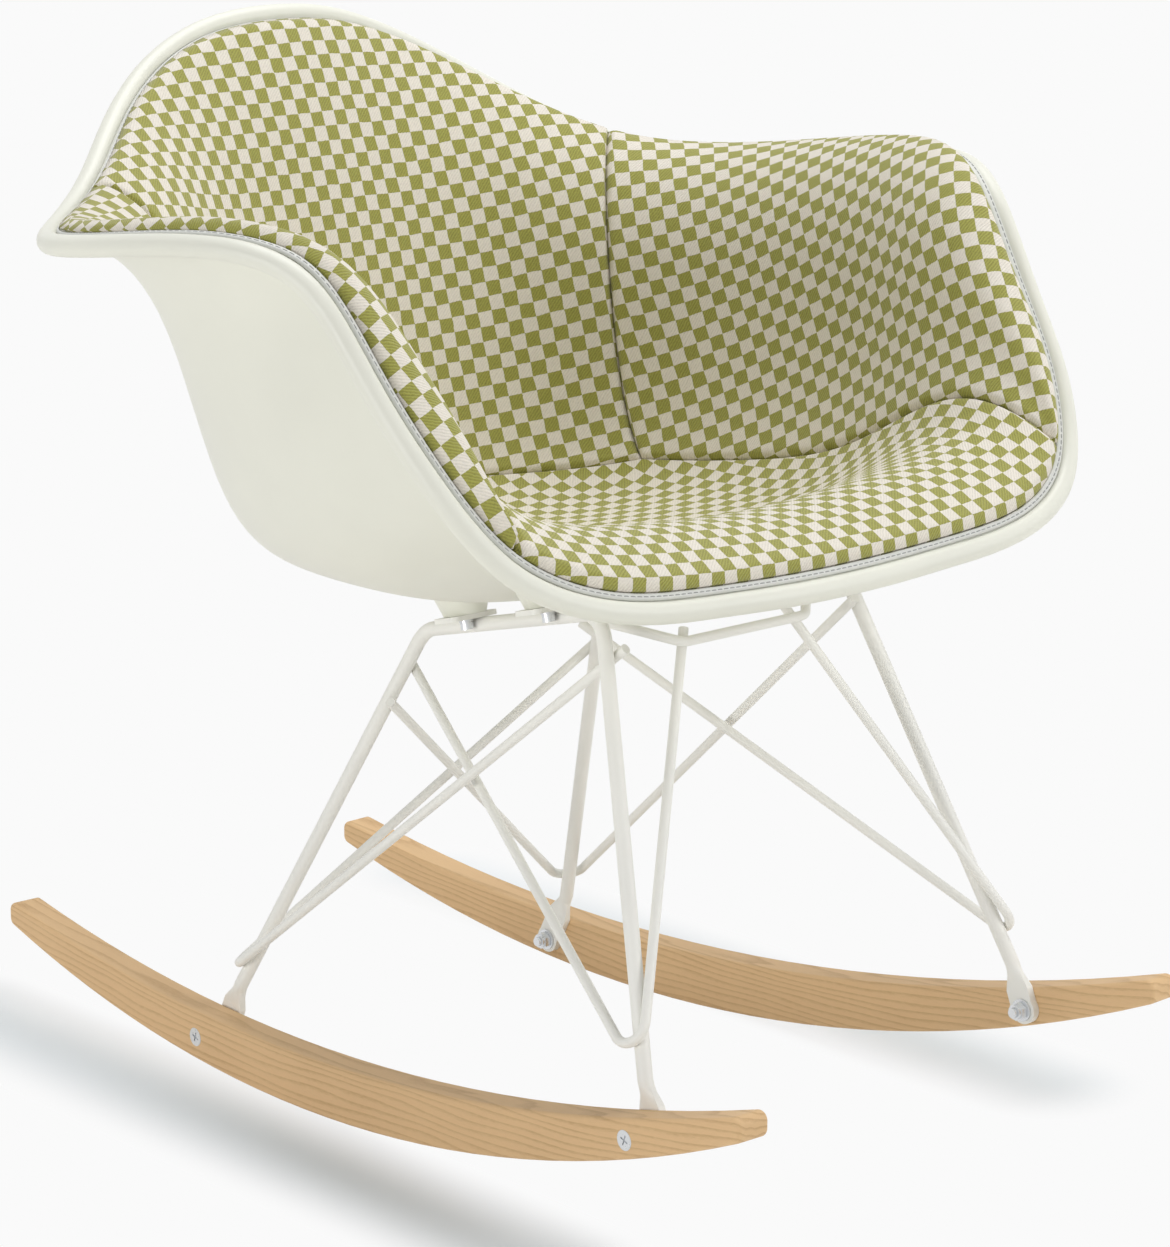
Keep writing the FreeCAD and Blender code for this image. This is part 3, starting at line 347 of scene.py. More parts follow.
def woven_check(name):
    """Wool-blend check cloth: two flat colours of slubby yarn, a dry ribbed surface with no gloss."""
    s = settings("chair_upholstery")
    material, tree, shader = new_material(name)
    cloth = add(tree, "ShaderNodeUVMap", uv_map="cloth")
    # The cloth map is in millimetres.  The yarn wanders by up to 0.8 mm from square to square and
    # by 0.35 mm from thread to thread, which keeps the squares from looking ruled.
    place = cloth
    for scale, detail, reach, level in ((0.09, 1.0, 1.6, 0.0), (1.4, 2.0, 0.7, 4.0)):
        noise = add(tree, "ShaderNodeTexNoise", {"Vector": cloth.outputs["UV"]},
                    in_Scale=scale, in_Detail=detail)
        centred = add(tree, "ShaderNodeVectorMath", {0: noise.outputs["Color"]},
                      operation="SUBTRACT", in_1=(0.5, 0.5, 0.5))
        # The level keeps the pattern's flat plane inside one layer of the checker's cubes.
        moved = add(tree, "ShaderNodeVectorMath", {0: centred.outputs[0]}, operation="MULTIPLY_ADD",
                    in_1=(reach, reach, 0.0), in_2=(0.0, 0.0, level))
        place = add(tree, "ShaderNodeVectorMath", {0: place.outputs[0], 1: moved.outputs[0]},
                    operation="ADD")
    squares = add(tree, "ShaderNodeTexChecker", {"Vector": place.outputs[0]},
                  in_Color1=grey(1.0), in_Color2=grey(0.0), in_Scale=MM / s.check)
    # Yarn: 0.8 mm picks are too fine to show at this size, so ribs are drawn 1.7 mm apart.
    ribs = add(tree, "ShaderNodeTexWave", {"Vector": cloth.outputs["UV"]}, wave_type="BANDS",
               bands_direction="DIAGONAL", in_Scale=0.26, in_Distortion=2.5, in_Detail=2.0)
    slub = add(tree, "ShaderNodeTexNoise", {"Vector": cloth.outputs["UV"]}, in_Scale=0.8,
               in_Detail=4.0, in_Roughness=0.7)
    tone = add(tree, "ShaderNodeMath", {0: ribs.outputs["Fac"]}, operation="MULTIPLY", in_1=0.35)
    tone = add(tree, "ShaderNodeMath", {0: slub.outputs["Fac"], 1: tone.outputs[0]}, operation="ADD")
    yarns = []
    for code, dark, bright in ((s.cream, 0.86, 1.06), (s.olive, 0.72, 1.18)):
        colour = hex_colour(code)
        yarns.append(add(tree, "ShaderNodeValToRGB", {"Fac": tone.outputs[0]}, [
            (0.35, scaled(colour, dark)), (0.65, colour), (0.95, scaled(colour, bright))]))
    mixed = add(tree, "ShaderNodeMix", {0: squares.outputs["Fac"], 6: yarns[0].outputs["Color"],
                                        7: yarns[1].outputs["Color"]}, data_type="RGBA")
    tree.links.new(mixed.outputs[2], shader.inputs["Base Color"])
    height = add(tree, "ShaderNodeMath", {0: ribs.outputs["Fac"], 1: slub.outputs["Fac"]},
                 operation="ADD")
    bump = add(tree, "ShaderNodeBump", {"Height": height.outputs[0]}, in_Strength=0.45,
               in_Distance=0.6 * MM)
    tree.links.new(bump.outputs["Normal"], shader.inputs["Normal"])
    shader.inputs["Roughness"].default_value = 0.95
    shader.inputs["Sheen Weight"].default_value = 0.25
    shader.inputs["Sheen Roughness"].default_value = 0.6
    shader.inputs["Specular IOR Level"].default_value = 0.2
    return material


def moulded_plastic(name, code, roughness, grain_mm=1.4, bump_strength=0.06):
    """Moulded or extruded plastic: a soft satin skin with a very faint orange peel."""
    material, tree, shader = new_material(name)
    place = add(tree, "ShaderNodeTexCoord")
    peel = add(tree, "ShaderNodeTexNoise", {"Vector": place.outputs["Object"]},
               in_Scale=1.0 / (grain_mm * MM), in_Detail=2.0)
    # Clouds of about 110 mm keep a large even part from looking like paint.
    cloud = add(tree, "ShaderNodeTexNoise", {"Vector": place.outputs["Object"]}, in_Scale=9.0,
                in_Detail=3.0)
    base = hex_colour(code)
    colour = add(tree, "ShaderNodeValToRGB", {"Fac": cloud.outputs["Fac"]},
                 [(0.3, scaled(base, 0.95)), (0.7, base)])
    tree.links.new(colour.outputs["Color"], shader.inputs["Base Color"])
    bump = add(tree, "ShaderNodeBump", {"Height": peel.outputs["Fac"]}, in_Strength=bump_strength,
               in_Distance=0.3 * MM)
    tree.links.new(bump.outputs["Normal"], shader.inputs["Normal"])
    rough = add(tree, "ShaderNodeValToRGB", {"Fac": cloud.outputs["Fac"]},
                [(0.2, grey(roughness - 0.05)), (0.8, grey(roughness + 0.05))])
    tree.links.new(rough.outputs["Color"], shader.inputs["Roughness"])
    shader.inputs["IOR"].default_value = 1.49
    return material


def powder_coat(name, code):
    """Powder-coated steel wire: an even off-white with a soft satin gloss."""
    material, tree, shader = new_material(name)
    place = add(tree, "ShaderNodeTexCoord")
    # The coat's tone drifts over about 70 mm.
    cloud = add(tree, "ShaderNodeTexNoise", {"Vector": place.outputs["Object"]}, in_Scale=14.0,
                in_Detail=2.0)
    base = hex_colour(code)
    colour = add(tree, "ShaderNodeValToRGB", {"Fac": cloud.outputs["Fac"]},
                 [(0.3, scaled(base, 0.94)), (0.7, base)])
    tree.links.new(colour.outputs["Color"], shader.inputs["Base Color"])
    rough = add(tree, "ShaderNodeValToRGB", {"Fac": cloud.outputs["Fac"]},
                [(0.3, grey(0.4)), (0.7, grey(0.5))])
    tree.links.new(rough.outputs["Color"], shader.inputs["Roughness"])
    return material


def steam_bent_ash(name):
    """Oiled ash: fine straight grain in slow drifting bands, cut by the bend near the ends."""
    s = settings("chair_body")
    material, tree, shader = new_material(name)
    place = add(tree, "ShaderNodeTexCoord")
    parts = add(tree, "ShaderNodeSeparateXYZ", {0: place.outputs["Object"]})
    # The stock follows the bend for the most part, so the rings leave the edges slowly.  The bend
    # is taken as a parabola about the place where the rockers touch the floor.
    back = add(tree, "ShaderNodeMath", {0: parts.outputs["Y"]}, operation="SUBTRACT", in_1=TOUCH_Y)
    square = add(tree, "ShaderNodeMath", {0: back.outputs[0], 1: back.outputs[0]}, operation="MULTIPLY")
    bend = add(tree, "ShaderNodeMath", {0: square.outputs[0]}, operation="MULTIPLY", in_1=0.20)
    level = add(tree, "ShaderNodeMath", {0: parts.outputs["Z"], 1: bend.outputs[0]},
                operation="SUBTRACT")
    tilt = add(tree, "ShaderNodeMath", {0: parts.outputs["X"]}, operation="MULTIPLY", in_1=0.35)
    level = add(tree, "ShaderNodeMath", {0: level.outputs[0], 1: tilt.outputs[0]}, operation="ADD")
    # Along the stock everything is drawn out about eight times, and a slow drift of up to four
    # rings makes the bands wander.
    long_way = add(tree, "ShaderNodeMath", {0: parts.outputs["Y"]}, operation="MULTIPLY", in_1=0.13)
    grain_at = add(tree, "ShaderNodeCombineXYZ", {"X": parts.outputs["X"], "Y": long_way.outputs[0],
                                                  "Z": level.outputs[0]})
    drift = add(tree, "ShaderNodeTexNoise", {"Vector": grain_at.outputs[0]}, in_Scale=38.0,
                in_Detail=2.0)
    shift = add(tree, "ShaderNodeMath", {0: drift.outputs["Fac"]}, operation="MULTIPLY",
                in_1=s.ring_width * 4.0)
    ring_z = add(tree, "ShaderNodeMath", {0: level.outputs[0], 1: shift.outputs[0]}, operation="ADD")
    turns = add(tree, "ShaderNodeMath", {0: ring_z.outputs[0]}, operation="MULTIPLY",
                in_1=1.0 / s.ring_width)
    ring = add(tree, "ShaderNodeMath", {0: turns.outputs[0]}, operation="FRACT")
    # Early wood is pale; each ring ends in a thin dark line.
    line = add(tree, "ShaderNodeValToRGB", {"Fac": ring.outputs[0]}, [
        (0.0, grey(0.75)), (0.12, grey(0.1)), (0.55, grey(0.2)), (0.86, grey(0.62)), (1.0, grey(0.75))])
    # Pores show as streaks 0.7 mm wide, and the tone drifts over about 70 mm.
    streak = add(tree, "ShaderNodeTexNoise", {"Vector": grain_at.outputs[0]}, in_Scale=1400.0,
                 in_Detail=4.0, in_Roughness=0.65)
    cloud = add(tree, "ShaderNodeTexNoise", {"Vector": place.outputs["Object"]}, in_Scale=14.0,
                in_Detail=2.0)
    tone = add(tree, "ShaderNodeMath", {0: line.outputs["Color"]}, operation="MULTIPLY", in_1=0.44)
    fine = add(tree, "ShaderNodeMath", {0: streak.outputs["Fac"]}, operation="MULTIPLY", in_1=0.42)
    tone = add(tree, "ShaderNodeMath", {0: tone.outputs[0], 1: fine.outputs[0]}, operation="ADD")
    cloudy = add(tree, "ShaderNodeMath", {0: cloud.outputs["Fac"]}, operation="MULTIPLY", in_1=0.24)
    tone = add(tree, "ShaderNodeMath", {0: tone.outputs[0], 1: cloudy.outputs[0]}, operation="ADD")
    light = hex_colour(s.ash_light)
    colour = add(tree, "ShaderNodeValToRGB", {"Fac": tone.outputs[0]}, [
        (0.28, scaled(light, 1.08)), (0.5, light), (0.85, hex_colour(s.ash_dark))])
    tree.links.new(colour.outputs["Color"], shader.inputs["Base Color"])
    bump = add(tree, "ShaderNodeBump", {"Height": streak.outputs["Fac"]}, in_Strength=0.15,
               in_Distance=0.2 * MM)
    tree.links.new(bump.outputs["Normal"], shader.inputs["Normal"])
    shader.inputs["Roughness"].default_value = 0.55
    shader.inputs["Specular IOR Level"].default_value = 0.3
    return material


def zinc_plate(name, code):
    """Zinc-plated steel: bright bluish grey with soft brushed reflections."""
    material, tree, shader = new_material(name)
    place = add(tree, "ShaderNodeTexCoord")
    # Scuffs of about 1.4 mm.
    scuff = add(tree, "ShaderNodeTexNoise", {"Vector": place.outputs["Object"]}, in_Scale=700.0,
                in_Detail=3.0)
    rough = add(tree, "ShaderNodeValToRGB", {"Fac": scuff.outputs["Fac"]},
                [(0.3, grey(0.24)), (0.7, grey(0.42))])
    tree.links.new(rough.outputs["Color"], shader.inputs["Roughness"])
    shader.inputs["Base Color"].default_value = hex_colour(code)
    shader.inputs["Metallic"].default_value = 1.0
    return material


# ------------------------------------------------------------------ pads
TRIM_FROM = 5.5  # the band starts this far from the rim's middle, mm
# The seams: where seat, back and arm meet (degrees from the front, u), the back seam's and the
# side seam's middle (u), and where the arm's and the back's seams reach the rim (degrees).
SEAM_TURN, SEAM_REACH, SEAM_BACK, SEAM_SIDE = 115.5, 0.485, 0.43, 0.54
SEAM_FRONT_TURN, SEAM_RIM_TURN = 44.0, 129.0
ARM_SHORT, ARM_TURN_SHORT = 0.01, 0.5  # the arm starts this far behind the front corner
EDGE_LIFT = 3.6  # height of a sewn edge, mm
SIDE_TALL = 2.0  # height of the loop that rounds a pad's side, mm
OVERHANG_FADE = 8.0  # the overhang at the rim starts this far inside it, mm
ROLLED, CROWNED = 0.68, 0.32  # shares of the rise in the rolled edge and in the wide crown
SEAT_NET, BACK_NET, ARM_NET = (90, 70), (90, 60), (70, 40)  # stations along and across a pad
EVEN = 0.35  # share of even spacing in those stations, the rest crowds towards the edges
MIRROR = np.array([-1.0, 1.0])
# Neighbours in a net, along both yarns and across both diagonals, and how stiff each is.
NET = ((np.s_[:-1, :], np.s_[1:, :]), (np.s_[:, :-1], np.s_[:, 1:]),
       (np.s_[:-1, :-1], np.s_[1:, 1:]), (np.s_[:-1, 1:], np.s_[1:, :-1]))
YARN = (1.0, 1.0, 0.35, 0.35)
STRIDES = (8, 4, 2, 1)  # the net is relaxed coarse to fine
ROUNDS = 500
OVERSHOOT = 1.5


def plan(u, turn):
    """Flat map of the bowl, in which the seams are drawn."""
    return np.stack([u * np.sin(np.radians(turn)), -u * np.cos(np.radians(turn))], -1)


def unplan(place):
    """The u value and the degrees of a place in the flat map."""
    x, y = place[..., 0], place[..., 1]
    return np.hypot(x, y), np.degrees(np.arctan2(x, -y)) % 360.0


def pad_rim(turn):
    """Where a pad ends beside the band."""
    return plan(near_rim(turn, TRIM_FROM + settings("chair_edge").band_wide / MM + PAD_GAP), turn)


def bow(a, through, b, k):
    """Quadratic curve from a through a middle place to b."""
    ctrl = 2 * through - (a + b) / 2.0
    k = k[..., None]
    return (1 - k) ** 2 * a + 2 * k * (1 - k) * ctrl + k * k * b


def seam_ends():
    """The corner of the seams, the front end and middle of the side seam, the back seam's middle."""
    corner = plan(np.array(SEAM_REACH), np.array(SEAM_TURN))
    front = pad_rim(np.array([SEAM_FRONT_TURN]))[0]
    side = plan(np.array(SEAM_SIDE), np.array((SEAM_FRONT_TURN + SEAM_TURN) / 2.0))
    back = plan(np.array(SEAM_BACK), np.array(180.0))
    return corner, front, side, back


def side_seam(k):
    """Right arm seam from the front of the rim back to the corner."""
    corner, front, side, _ = seam_ends()
    return bow(front, side, corner, k)


def back_seam(k):
    """Seat and back seam from the right corner to the left corner."""
    corner, _, _, back = seam_ends()
    return bow(corner, back, corner * MIRROR, k)


def arm_place(s, t):
    """Right arm: s from the front to the back, t from the seam to the rim."""
    seam = side_seam(ARM_SHORT + (1.0 - ARM_SHORT) * s)
    turn = SEAM_FRONT_TURN + ARM_TURN_SHORT + (SEAM_RIM_TURN - SEAM_FRONT_TURN - ARM_TURN_SHORT) * s
    rim = pad_rim(turn)
    return seam + (rim - seam) * t[..., None]


def back_place(s, t):
    """Back: s from right to left, t from the seam to the rim."""
    seam = back_seam(s)
    rim = pad_rim(SEAM_RIM_TURN + (360.0 - 2.0 * SEAM_RIM_TURN) * s)
    return seam + (rim - seam) * t[..., None]


def seat_place(s, t):
    """Seat: s from right to left, t from the front rim to the back seam."""
    corner, front_end, _, _ = seam_ends()
    front = pad_rim(SEAM_FRONT_TURN * (1.0 - 2.0 * s))
    back = back_seam(s)
    right = side_seam(t)
    left = right * MIRROR
    s = s[..., None]
    t = t[..., None]
    ends = ((1 - s) * (1 - t) * front_end + s * (1 - t) * front_end * MIRROR
            + (1 - s) * t * corner + s * t * corner * MIRROR)
    return (1 - t) * front + t * back + (1 - s) * right + s * left - ends


def eased_steps(count):
    """Stations from 0 to 1 that crowd towards both ends."""
    k = np.linspace(0.0, 1.0, count)
    return EVEN * k + (1.0 - EVEN) * (0.5 - 0.5 * np.cos(math.pi * k))


def along_rows(points):
    """Distance run down each column of a net, from its first row."""
    steps = np.linalg.norm(np.diff(points, axis=0), axis=-1)
    return np.concatenate([np.zeros((1, points.shape[1])), np.cumsum(steps, axis=0)])


def flatten(points):
    """Flat pattern of a panel in mm.  Its net is relaxed until the yarns keep their length."""
    rows, cols = points.shape[:2]
    flat = None
    for stride in STRIDES:
        on_s = np.round(np.linspace(0, rows - 1, max(rows // stride, 6))).astype(int)
        on_t = np.round(np.linspace(0, cols - 1, max(cols // stride, 6))).astype(int)
        net = points[np.ix_(on_s, on_t)]
        rests = [np.linalg.norm(net[b] - net[a], axis=-1) for a, b in NET]
        if flat is None:
            flat = np.zeros(net.shape[:2] + (2,))
            flat[1:, :, 0] = np.cumsum(rests[0], axis=0)
            flat[:, :, 0] -= flat[len(on_s) // 2][None, :, 0]
            flat[:, 1:, 1] = np.cumsum(rests[1], axis=1)
            flat[:, :, 1] -= flat[:, len(on_t) // 2][:, None, 1]
        else:
            wide = np.stack([[np.interp(on_t, was_t, line[:, k]) for line in flat] for k in (0, 1)], -1)
            flat = np.stack([[np.interp(on_s, was_s, wide[:, j, k]) for j in range(len(on_t))]
                             for k in (0, 1)], -1).swapaxes(0, 1)
        was_s, was_t = on_s, on_t
        weight = np.zeros(flat.shape[:2] + (1,))
        for (a, b), stiff in zip(NET, YARN):
            weight[a] += stiff
            weight[b] += stiff
        for _ in range(ROUNDS):
            move = np.zeros_like(flat)
            for (a, b), rest, stiff in zip(NET, rests, YARN):
                way = flat[b] - flat[a]
                size = np.linalg.norm(way, axis=-1)
                fix = way * ((size - rest) / np.maximum(size, 1e-9) * 0.5 * stiff)[..., None]
                move[a] += fix
                move[b] -= fix
            flat += move / weight * OVERSHOOT
    return flat


def make_pad(name, place, thick, material, counts, overhang, flip=False, turn_cloth=0.0, swell=None,
             rim_first=False):
    """One padded panel: cloth over foam, rolled down at its seams and out over the band at the rim."""
    s_steps = eased_steps(counts[0])
    t_steps = eased_steps(counts[1])
    s, t = np.meshgrid(s_steps, t_steps, indexing="ij")
    u, turn = unplan(place(s, t))
    base = skin(u, turn, np.full_like(u, -WALL_T / 2.0 - PAD_GAP))
    up, out = slopes(u, turn)
    run_s = along_rows(base)
    run_t = along_rows(base.swapaxes(0, 1)).T
    roll = settings("chair_upholstery").edge_round / MM

    def edge(run, total):
        """Quarter round up from both ends of a run."""
        near = np.minimum(np.minimum(run, total - run) / roll, 1.0)
        return np.sqrt(1.0 - (1.0 - near) ** 2)
    quick = edge(run_s, run_s[-1:]) * edge(run_t, run_t[:, -1:])
    # The crown is nearly flat in the middle and comes down to nothing at the edges.
    slow = (1.0 - np.abs(2 * s - 1) ** 5) * (1.0 - np.abs(2 * t - 1) ** 5)
    lift = EDGE_LIFT + (thick / MM - EDGE_LIFT) * (ROLLED * quick + CROWNED * quick * slow)
    if swell:
        lift = lift + swell(s, t, base) * quick * (0.35 + 0.65 * slow)
    from_rim = run_t if rim_first else run_t[:, -1:] - run_t
    reach = overhang(s) * np.clip(1.0 - from_rim / OVERHANG_FADE, 0.0, 1.0) ** 2
    top = base - out * lift[..., None] + up * reach[..., None]
    cosine, sine = math.cos(turn_cloth), math.sin(turn_cloth)
    cloth = flatten(top) @ np.array([[cosine, sine], [-sine, cosine]])
    rows, cols = s.shape
    border = ([(i, 0) for i in range(rows)] + [(rows - 1, j) for j in range(1, cols)]
              + [(i, cols - 1) for i in range(rows - 2, -1, -1)]
              + [(0, j) for j in range(cols - 2, 0, -1)])
    on_s, on_t = np.array(border).T
    wall = (base - out * SIDE_TALL)[on_s, on_t]
    verts = np.concatenate([top.reshape(-1, 3), base.reshape(-1, 3), wall])
    uvs = np.concatenate([cloth.reshape(-1, 2), cloth.reshape(-1, 2), cloth[on_s, on_t]])
    half = rows * cols
    faces = []
    for i in range(rows - 1):
        for j in range(cols - 1):
            a = i * cols + j
            faces.append((a, a + 1, a + cols + 1, a + cols))
            faces.append((half + a, half + a + cols, half + a + cols + 1, half + a + 1))
    for n, ((i, j), (k, m)) in enumerate(zip(border, border[1:] + border[:1])):
        a, b = i * cols + j, k * cols + m
        low, high = 2 * half + n, 2 * half + (n + 1) % len(border)
        faces.append((a, b, high, low))
        faces.append((low, high, half + b, half + a))
    if flip:
        verts[:, 0] *= -1.0
        faces = [tuple(reversed(f)) for f in faces]
    piece = mesh_object(name, verts, faces, material, uvs)
    outward(piece.data)
    return piece


def arm_swell(s, t, base):
    """Fuller foam where the arm comes down to the seat's front corner."""
    return 10.0 * np.exp(-((s - 0.16) / 0.24) ** 2 - ((t - 0.76) / 0.26) ** 2)


def seat_swell(s, t, base):
    """Fuller foam under the knees, thinner where the seat is deepest."""
    x, y = base[..., 0], base[..., 1]
    knees = 10.0 * np.exp(-((y + 100.0) / 75.0) ** 2) * np.exp(-(x / 125.0) ** 4)
    return knees - 4.0 * np.exp(-((y - 70.0) / 55.0) ** 2)


def arm_overhang(s):
    """Little at the front corner, more over the arm."""
    return 1.2 + 3.0 * np.clip((s - 0.35) / 0.3, 0.0, 1.0)


def seat_overhang(s):
    """Little along the front."""
    return np.full_like(s, 1.2)


def back_overhang(s):
    """The back's foam hides most of the band."""
    return np.full_like(s, 4.2)


class CHAIR_OT_shell(bpy.types.Operator):
    """Finishes the moulded shell"""
    bl_idname = "chair.shell"
    bl_label = "Shell"

    def execute(self, context):
        code = settings("chair_body").plastic
        dress(["shell"], moulded_plastic("moulded polypropylene", code, 0.42))
        return {"FINISHED"}


class CHAIR_OT_upholstery(bpy.types.Operator):
    """Makes the four padded panels in check cloth"""
    bl_idname = "chair.upholstery"
    bl_label = "Upholstery"

    def execute(self, context):
        s = settings("chair_upholstery")
        cloth = woven_check("woven check wool blend")
        seat = make_pad("seat_panel", seat_place, s.seat_thick, cloth, SEAT_NET, seat_overhang,
                        swell=seat_swell, rim_first=True)
        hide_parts("pad_seat")
        back = make_pad("back_panel", back_place, s.back_thick, cloth, BACK_NET, back_overhang)
        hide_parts("pad_back")
        for side, flip in (("right", False), ("left", True)):
            arm = make_pad("arm_panel_" + side, arm_place, s.arm_thick, cloth, ARM_NET, arm_overhang,
                           flip, s.arm_turn, arm_swell)
            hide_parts("pad_arm_" + side)
        return {"FINISHED"}


GROOVE_AT = 0.3  # the sewing groove, as a share of the band's width from the rim
THREAD_LIFT = 2.0  # the thread lies this far over the shell's inner skin, mm
THREAD_ROUND = 0.42  # radius of the thread, mm
STITCH_SHARE = 0.78  # length of thread that shows in each stitch


class CHAIR_OT_edge(bpy.types.Operator):
    """Makes the edge band and its stitching"""
    bl_idname = "chair.edge"
    bl_label = "Edge"

    def execute(self, context):
        s = settings("chair_edge")
        # Extruded vinyl: duller than the shell, with a finer grain.
        self.band(moulded_plastic("extruded vinyl edging", s.edging, 0.5, 0.8, 0.1))
        # Spun polyester: dull, with the twist of its yarn as a fine grain.  Its grey is partly painted
        # shade: darker than the band, it stands for the shade in the stitch holes.
        self.stitches(moulded_plastic("polyester thread", s.thread, 0.8, 0.3, 0.3))
        return {"FINISHED"}

    def band(self, material):
        """A ring of vinyl with rounded edges and a shallow sewing groove."""
        wide = settings("chair_edge").band_wide / MM
        profile = [(TRIM_FROM, 0.0)]
        # Sides of 0.9 mm, a dome of 1.7 mm between them, and a groove 0.55 mm deep.
        for k in np.linspace(0.0, 1.0, 15):
            across = TRIM_FROM + wide * k
            dome = 1.0 - abs(2 * k - 1) ** 4
            groove = 0.55 * math.exp(-((k - GROOVE_AT) / 0.09) ** 2)
            profile.append((across, 0.9 + 1.7 * dome - groove))
        profile.append((TRIM_FROM + wide, 0.0))
        turns = np.arange(0.0, 360.0, 1.0)
        rings = [skin(near_rim(turns, away), turns, np.full_like(turns, -WALL_T / 2 - PAD_GAP - tall))
                 for away, tall in profile]
        verts = np.stack(rings, 1).reshape(-1, 3)
        count, wrap = len(turns), len(profile)
        faces = [(i * wrap + j, i * wrap + (j + 1) % wrap, ((i + 1) % count) * wrap + (j + 1) % wrap,
                  ((i + 1) % count) * wrap + j) for i in range(count) for j in range(wrap)]
        piece = mesh_object("edge_band", verts, faces, material)
        outward(piece.data)
        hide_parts("edge_trim")

    def stitches(self, material):
        """Short thread bars that dip into the groove at both ends."""
        s = settings("chair_edge")
        pitch = s.stitch_pitch / MM
        turns = np.arange(0.0, 360.0, 0.25)
        away = TRIM_FROM + s.band_wide / MM * GROOVE_AT
        us = near_rim(turns, away)
        line = skin(us, turns, np.full_like(turns, -WALL_T / 2 - PAD_GAP - THREAD_LIFT))
        outs = slopes(us, turns)[1]
        closed = np.concatenate([line, line[:1]])
        run = np.concatenate([[0.0], np.cumsum(np.linalg.norm(np.diff(closed, axis=0), axis=-1))])
        count = int(run[-1] / pitch)
        verts, faces = [], []
        sides = 6
        # Place along the stitch and thickness, as shares of its length and of the thread's radius.
        stations = ((-0.5, 0.35), (-0.34, 0.9), (0.0, 1.0), (0.34, 0.9), (0.5, 0.35))
        for n in range(count):
            centre = (n + 0.5) * run[-1] / count
            rings = []
            for k, thin in stations:
                at = centre + k * pitch * STITCH_SHARE
                spot, ahead = (np.array([np.interp(d, run, closed[:, i]) for i in range(3)])
                               for d in (at, at + 0.5))
                out = outs[int(np.interp(at, run[:-1], np.arange(len(turns)))) % len(turns)]
                along = unit(ahead - spot)
                across = unit(np.cross(along, out))
                spot = spot - out * (0.25 * thin - 0.1)  # 0.15 mm proud in its middle
                rings.append(len(verts))
                for i in range(sides):
                    a = 2 * math.pi * i / sides
                    around = across * math.cos(a) + out * math.sin(a)
                    verts.append(spot + around * THREAD_ROUND * thin)
            for a, b in zip(rings, rings[1:]):
                for i in range(sides):
                    j = (i + 1) % sides
                    faces.append((a + i, a + j, b + j, b + i))
            faces.append(tuple(rings[0] + i for i in range(sides))[::-1])
            faces.append(tuple(rings[-1] + i for i in range(sides)))
        mesh_object("edge_stitches", verts, faces, material)


class CHAIR_OT_wires(bpy.types.Operator):
    """Finishes the wire base and its mount plates"""
    bl_idname = "chair.wires"
    bl_label = "Wires"

    def execute(self, context):
        coat = powder_coat("powder coated steel wire", settings("chair_body").coat)
        dress([n for n in NODES if n.startswith(("side_rod", "crossbar", "brace", "mount_plate"))],
              coat)
        return {"FINISHED"}


class CHAIR_OT_rockers(bpy.types.Operator):
    """Finishes the rockers"""
    bl_idname = "chair.rockers"
    bl_label = "Rockers"

    def execute(self, context):
        dress(["rocker_left", "rocker_right"], steam_bent_ash("steam bent ash"))
        return {"FINISHED"}


class CHAIR_OT_fasteners(bpy.types.Operator):
    """Finishes the bolts, screws, washers, nuts and inserts"""
    bl_idname = "chair.fasteners"
    bl_label = "Fasteners"

    def execute(self, context):
        dress(["mount_bolts", "mount_washers", "rocker_screws", "rocker_washers", "rocker_nuts",
               "threaded_inserts"], zinc_plate("zinc plated steel", settings("chair_body").zinc))
        return {"FINISHED"}


# ------------------------------------------------------------------ stage
# Place, size, power and aim of each lamp: metres and watts.
LAMPS = {
    "top": ((0.6, 0.3, 3.0), 2.0, 50.0, (0, 0, 0.2)),
    "left": ((-3.0, -0.2, 0.55), 0.9, 26.0, (0, 0, 0.25)),
    "right": ((1.6, -3.0, 1.5), 1.6, 43.0, (0, 0, 0.45)),
}
SKY, SKY_STRENGTH = (0.97, 0.98, 1.0, 1.0), 0.38
IMAGE_WIDE, IMAGE_TALL = 1170.0, 1247.0
CENTRE_X, CENTRE_Y = 588.488, 571.371  # where the camera's axis meets the image, pixels
FLOOR_SIZE = 14.0
FLOOR_Z = -0.0005
# The floor keeps its shadow in a soft strip along each rocker.  Middle of the strip from the
# chair's middle plane, its middle and half length along the chair, and its fade, metres.
STRIP_X, STRIP_Y, STRIP_HALF, STRIP_FADE = 0.212, 0.06, 0.30, 0.065
SHADE_LEFT = 0.12  # share of the backdrop in the darkest part of the strip


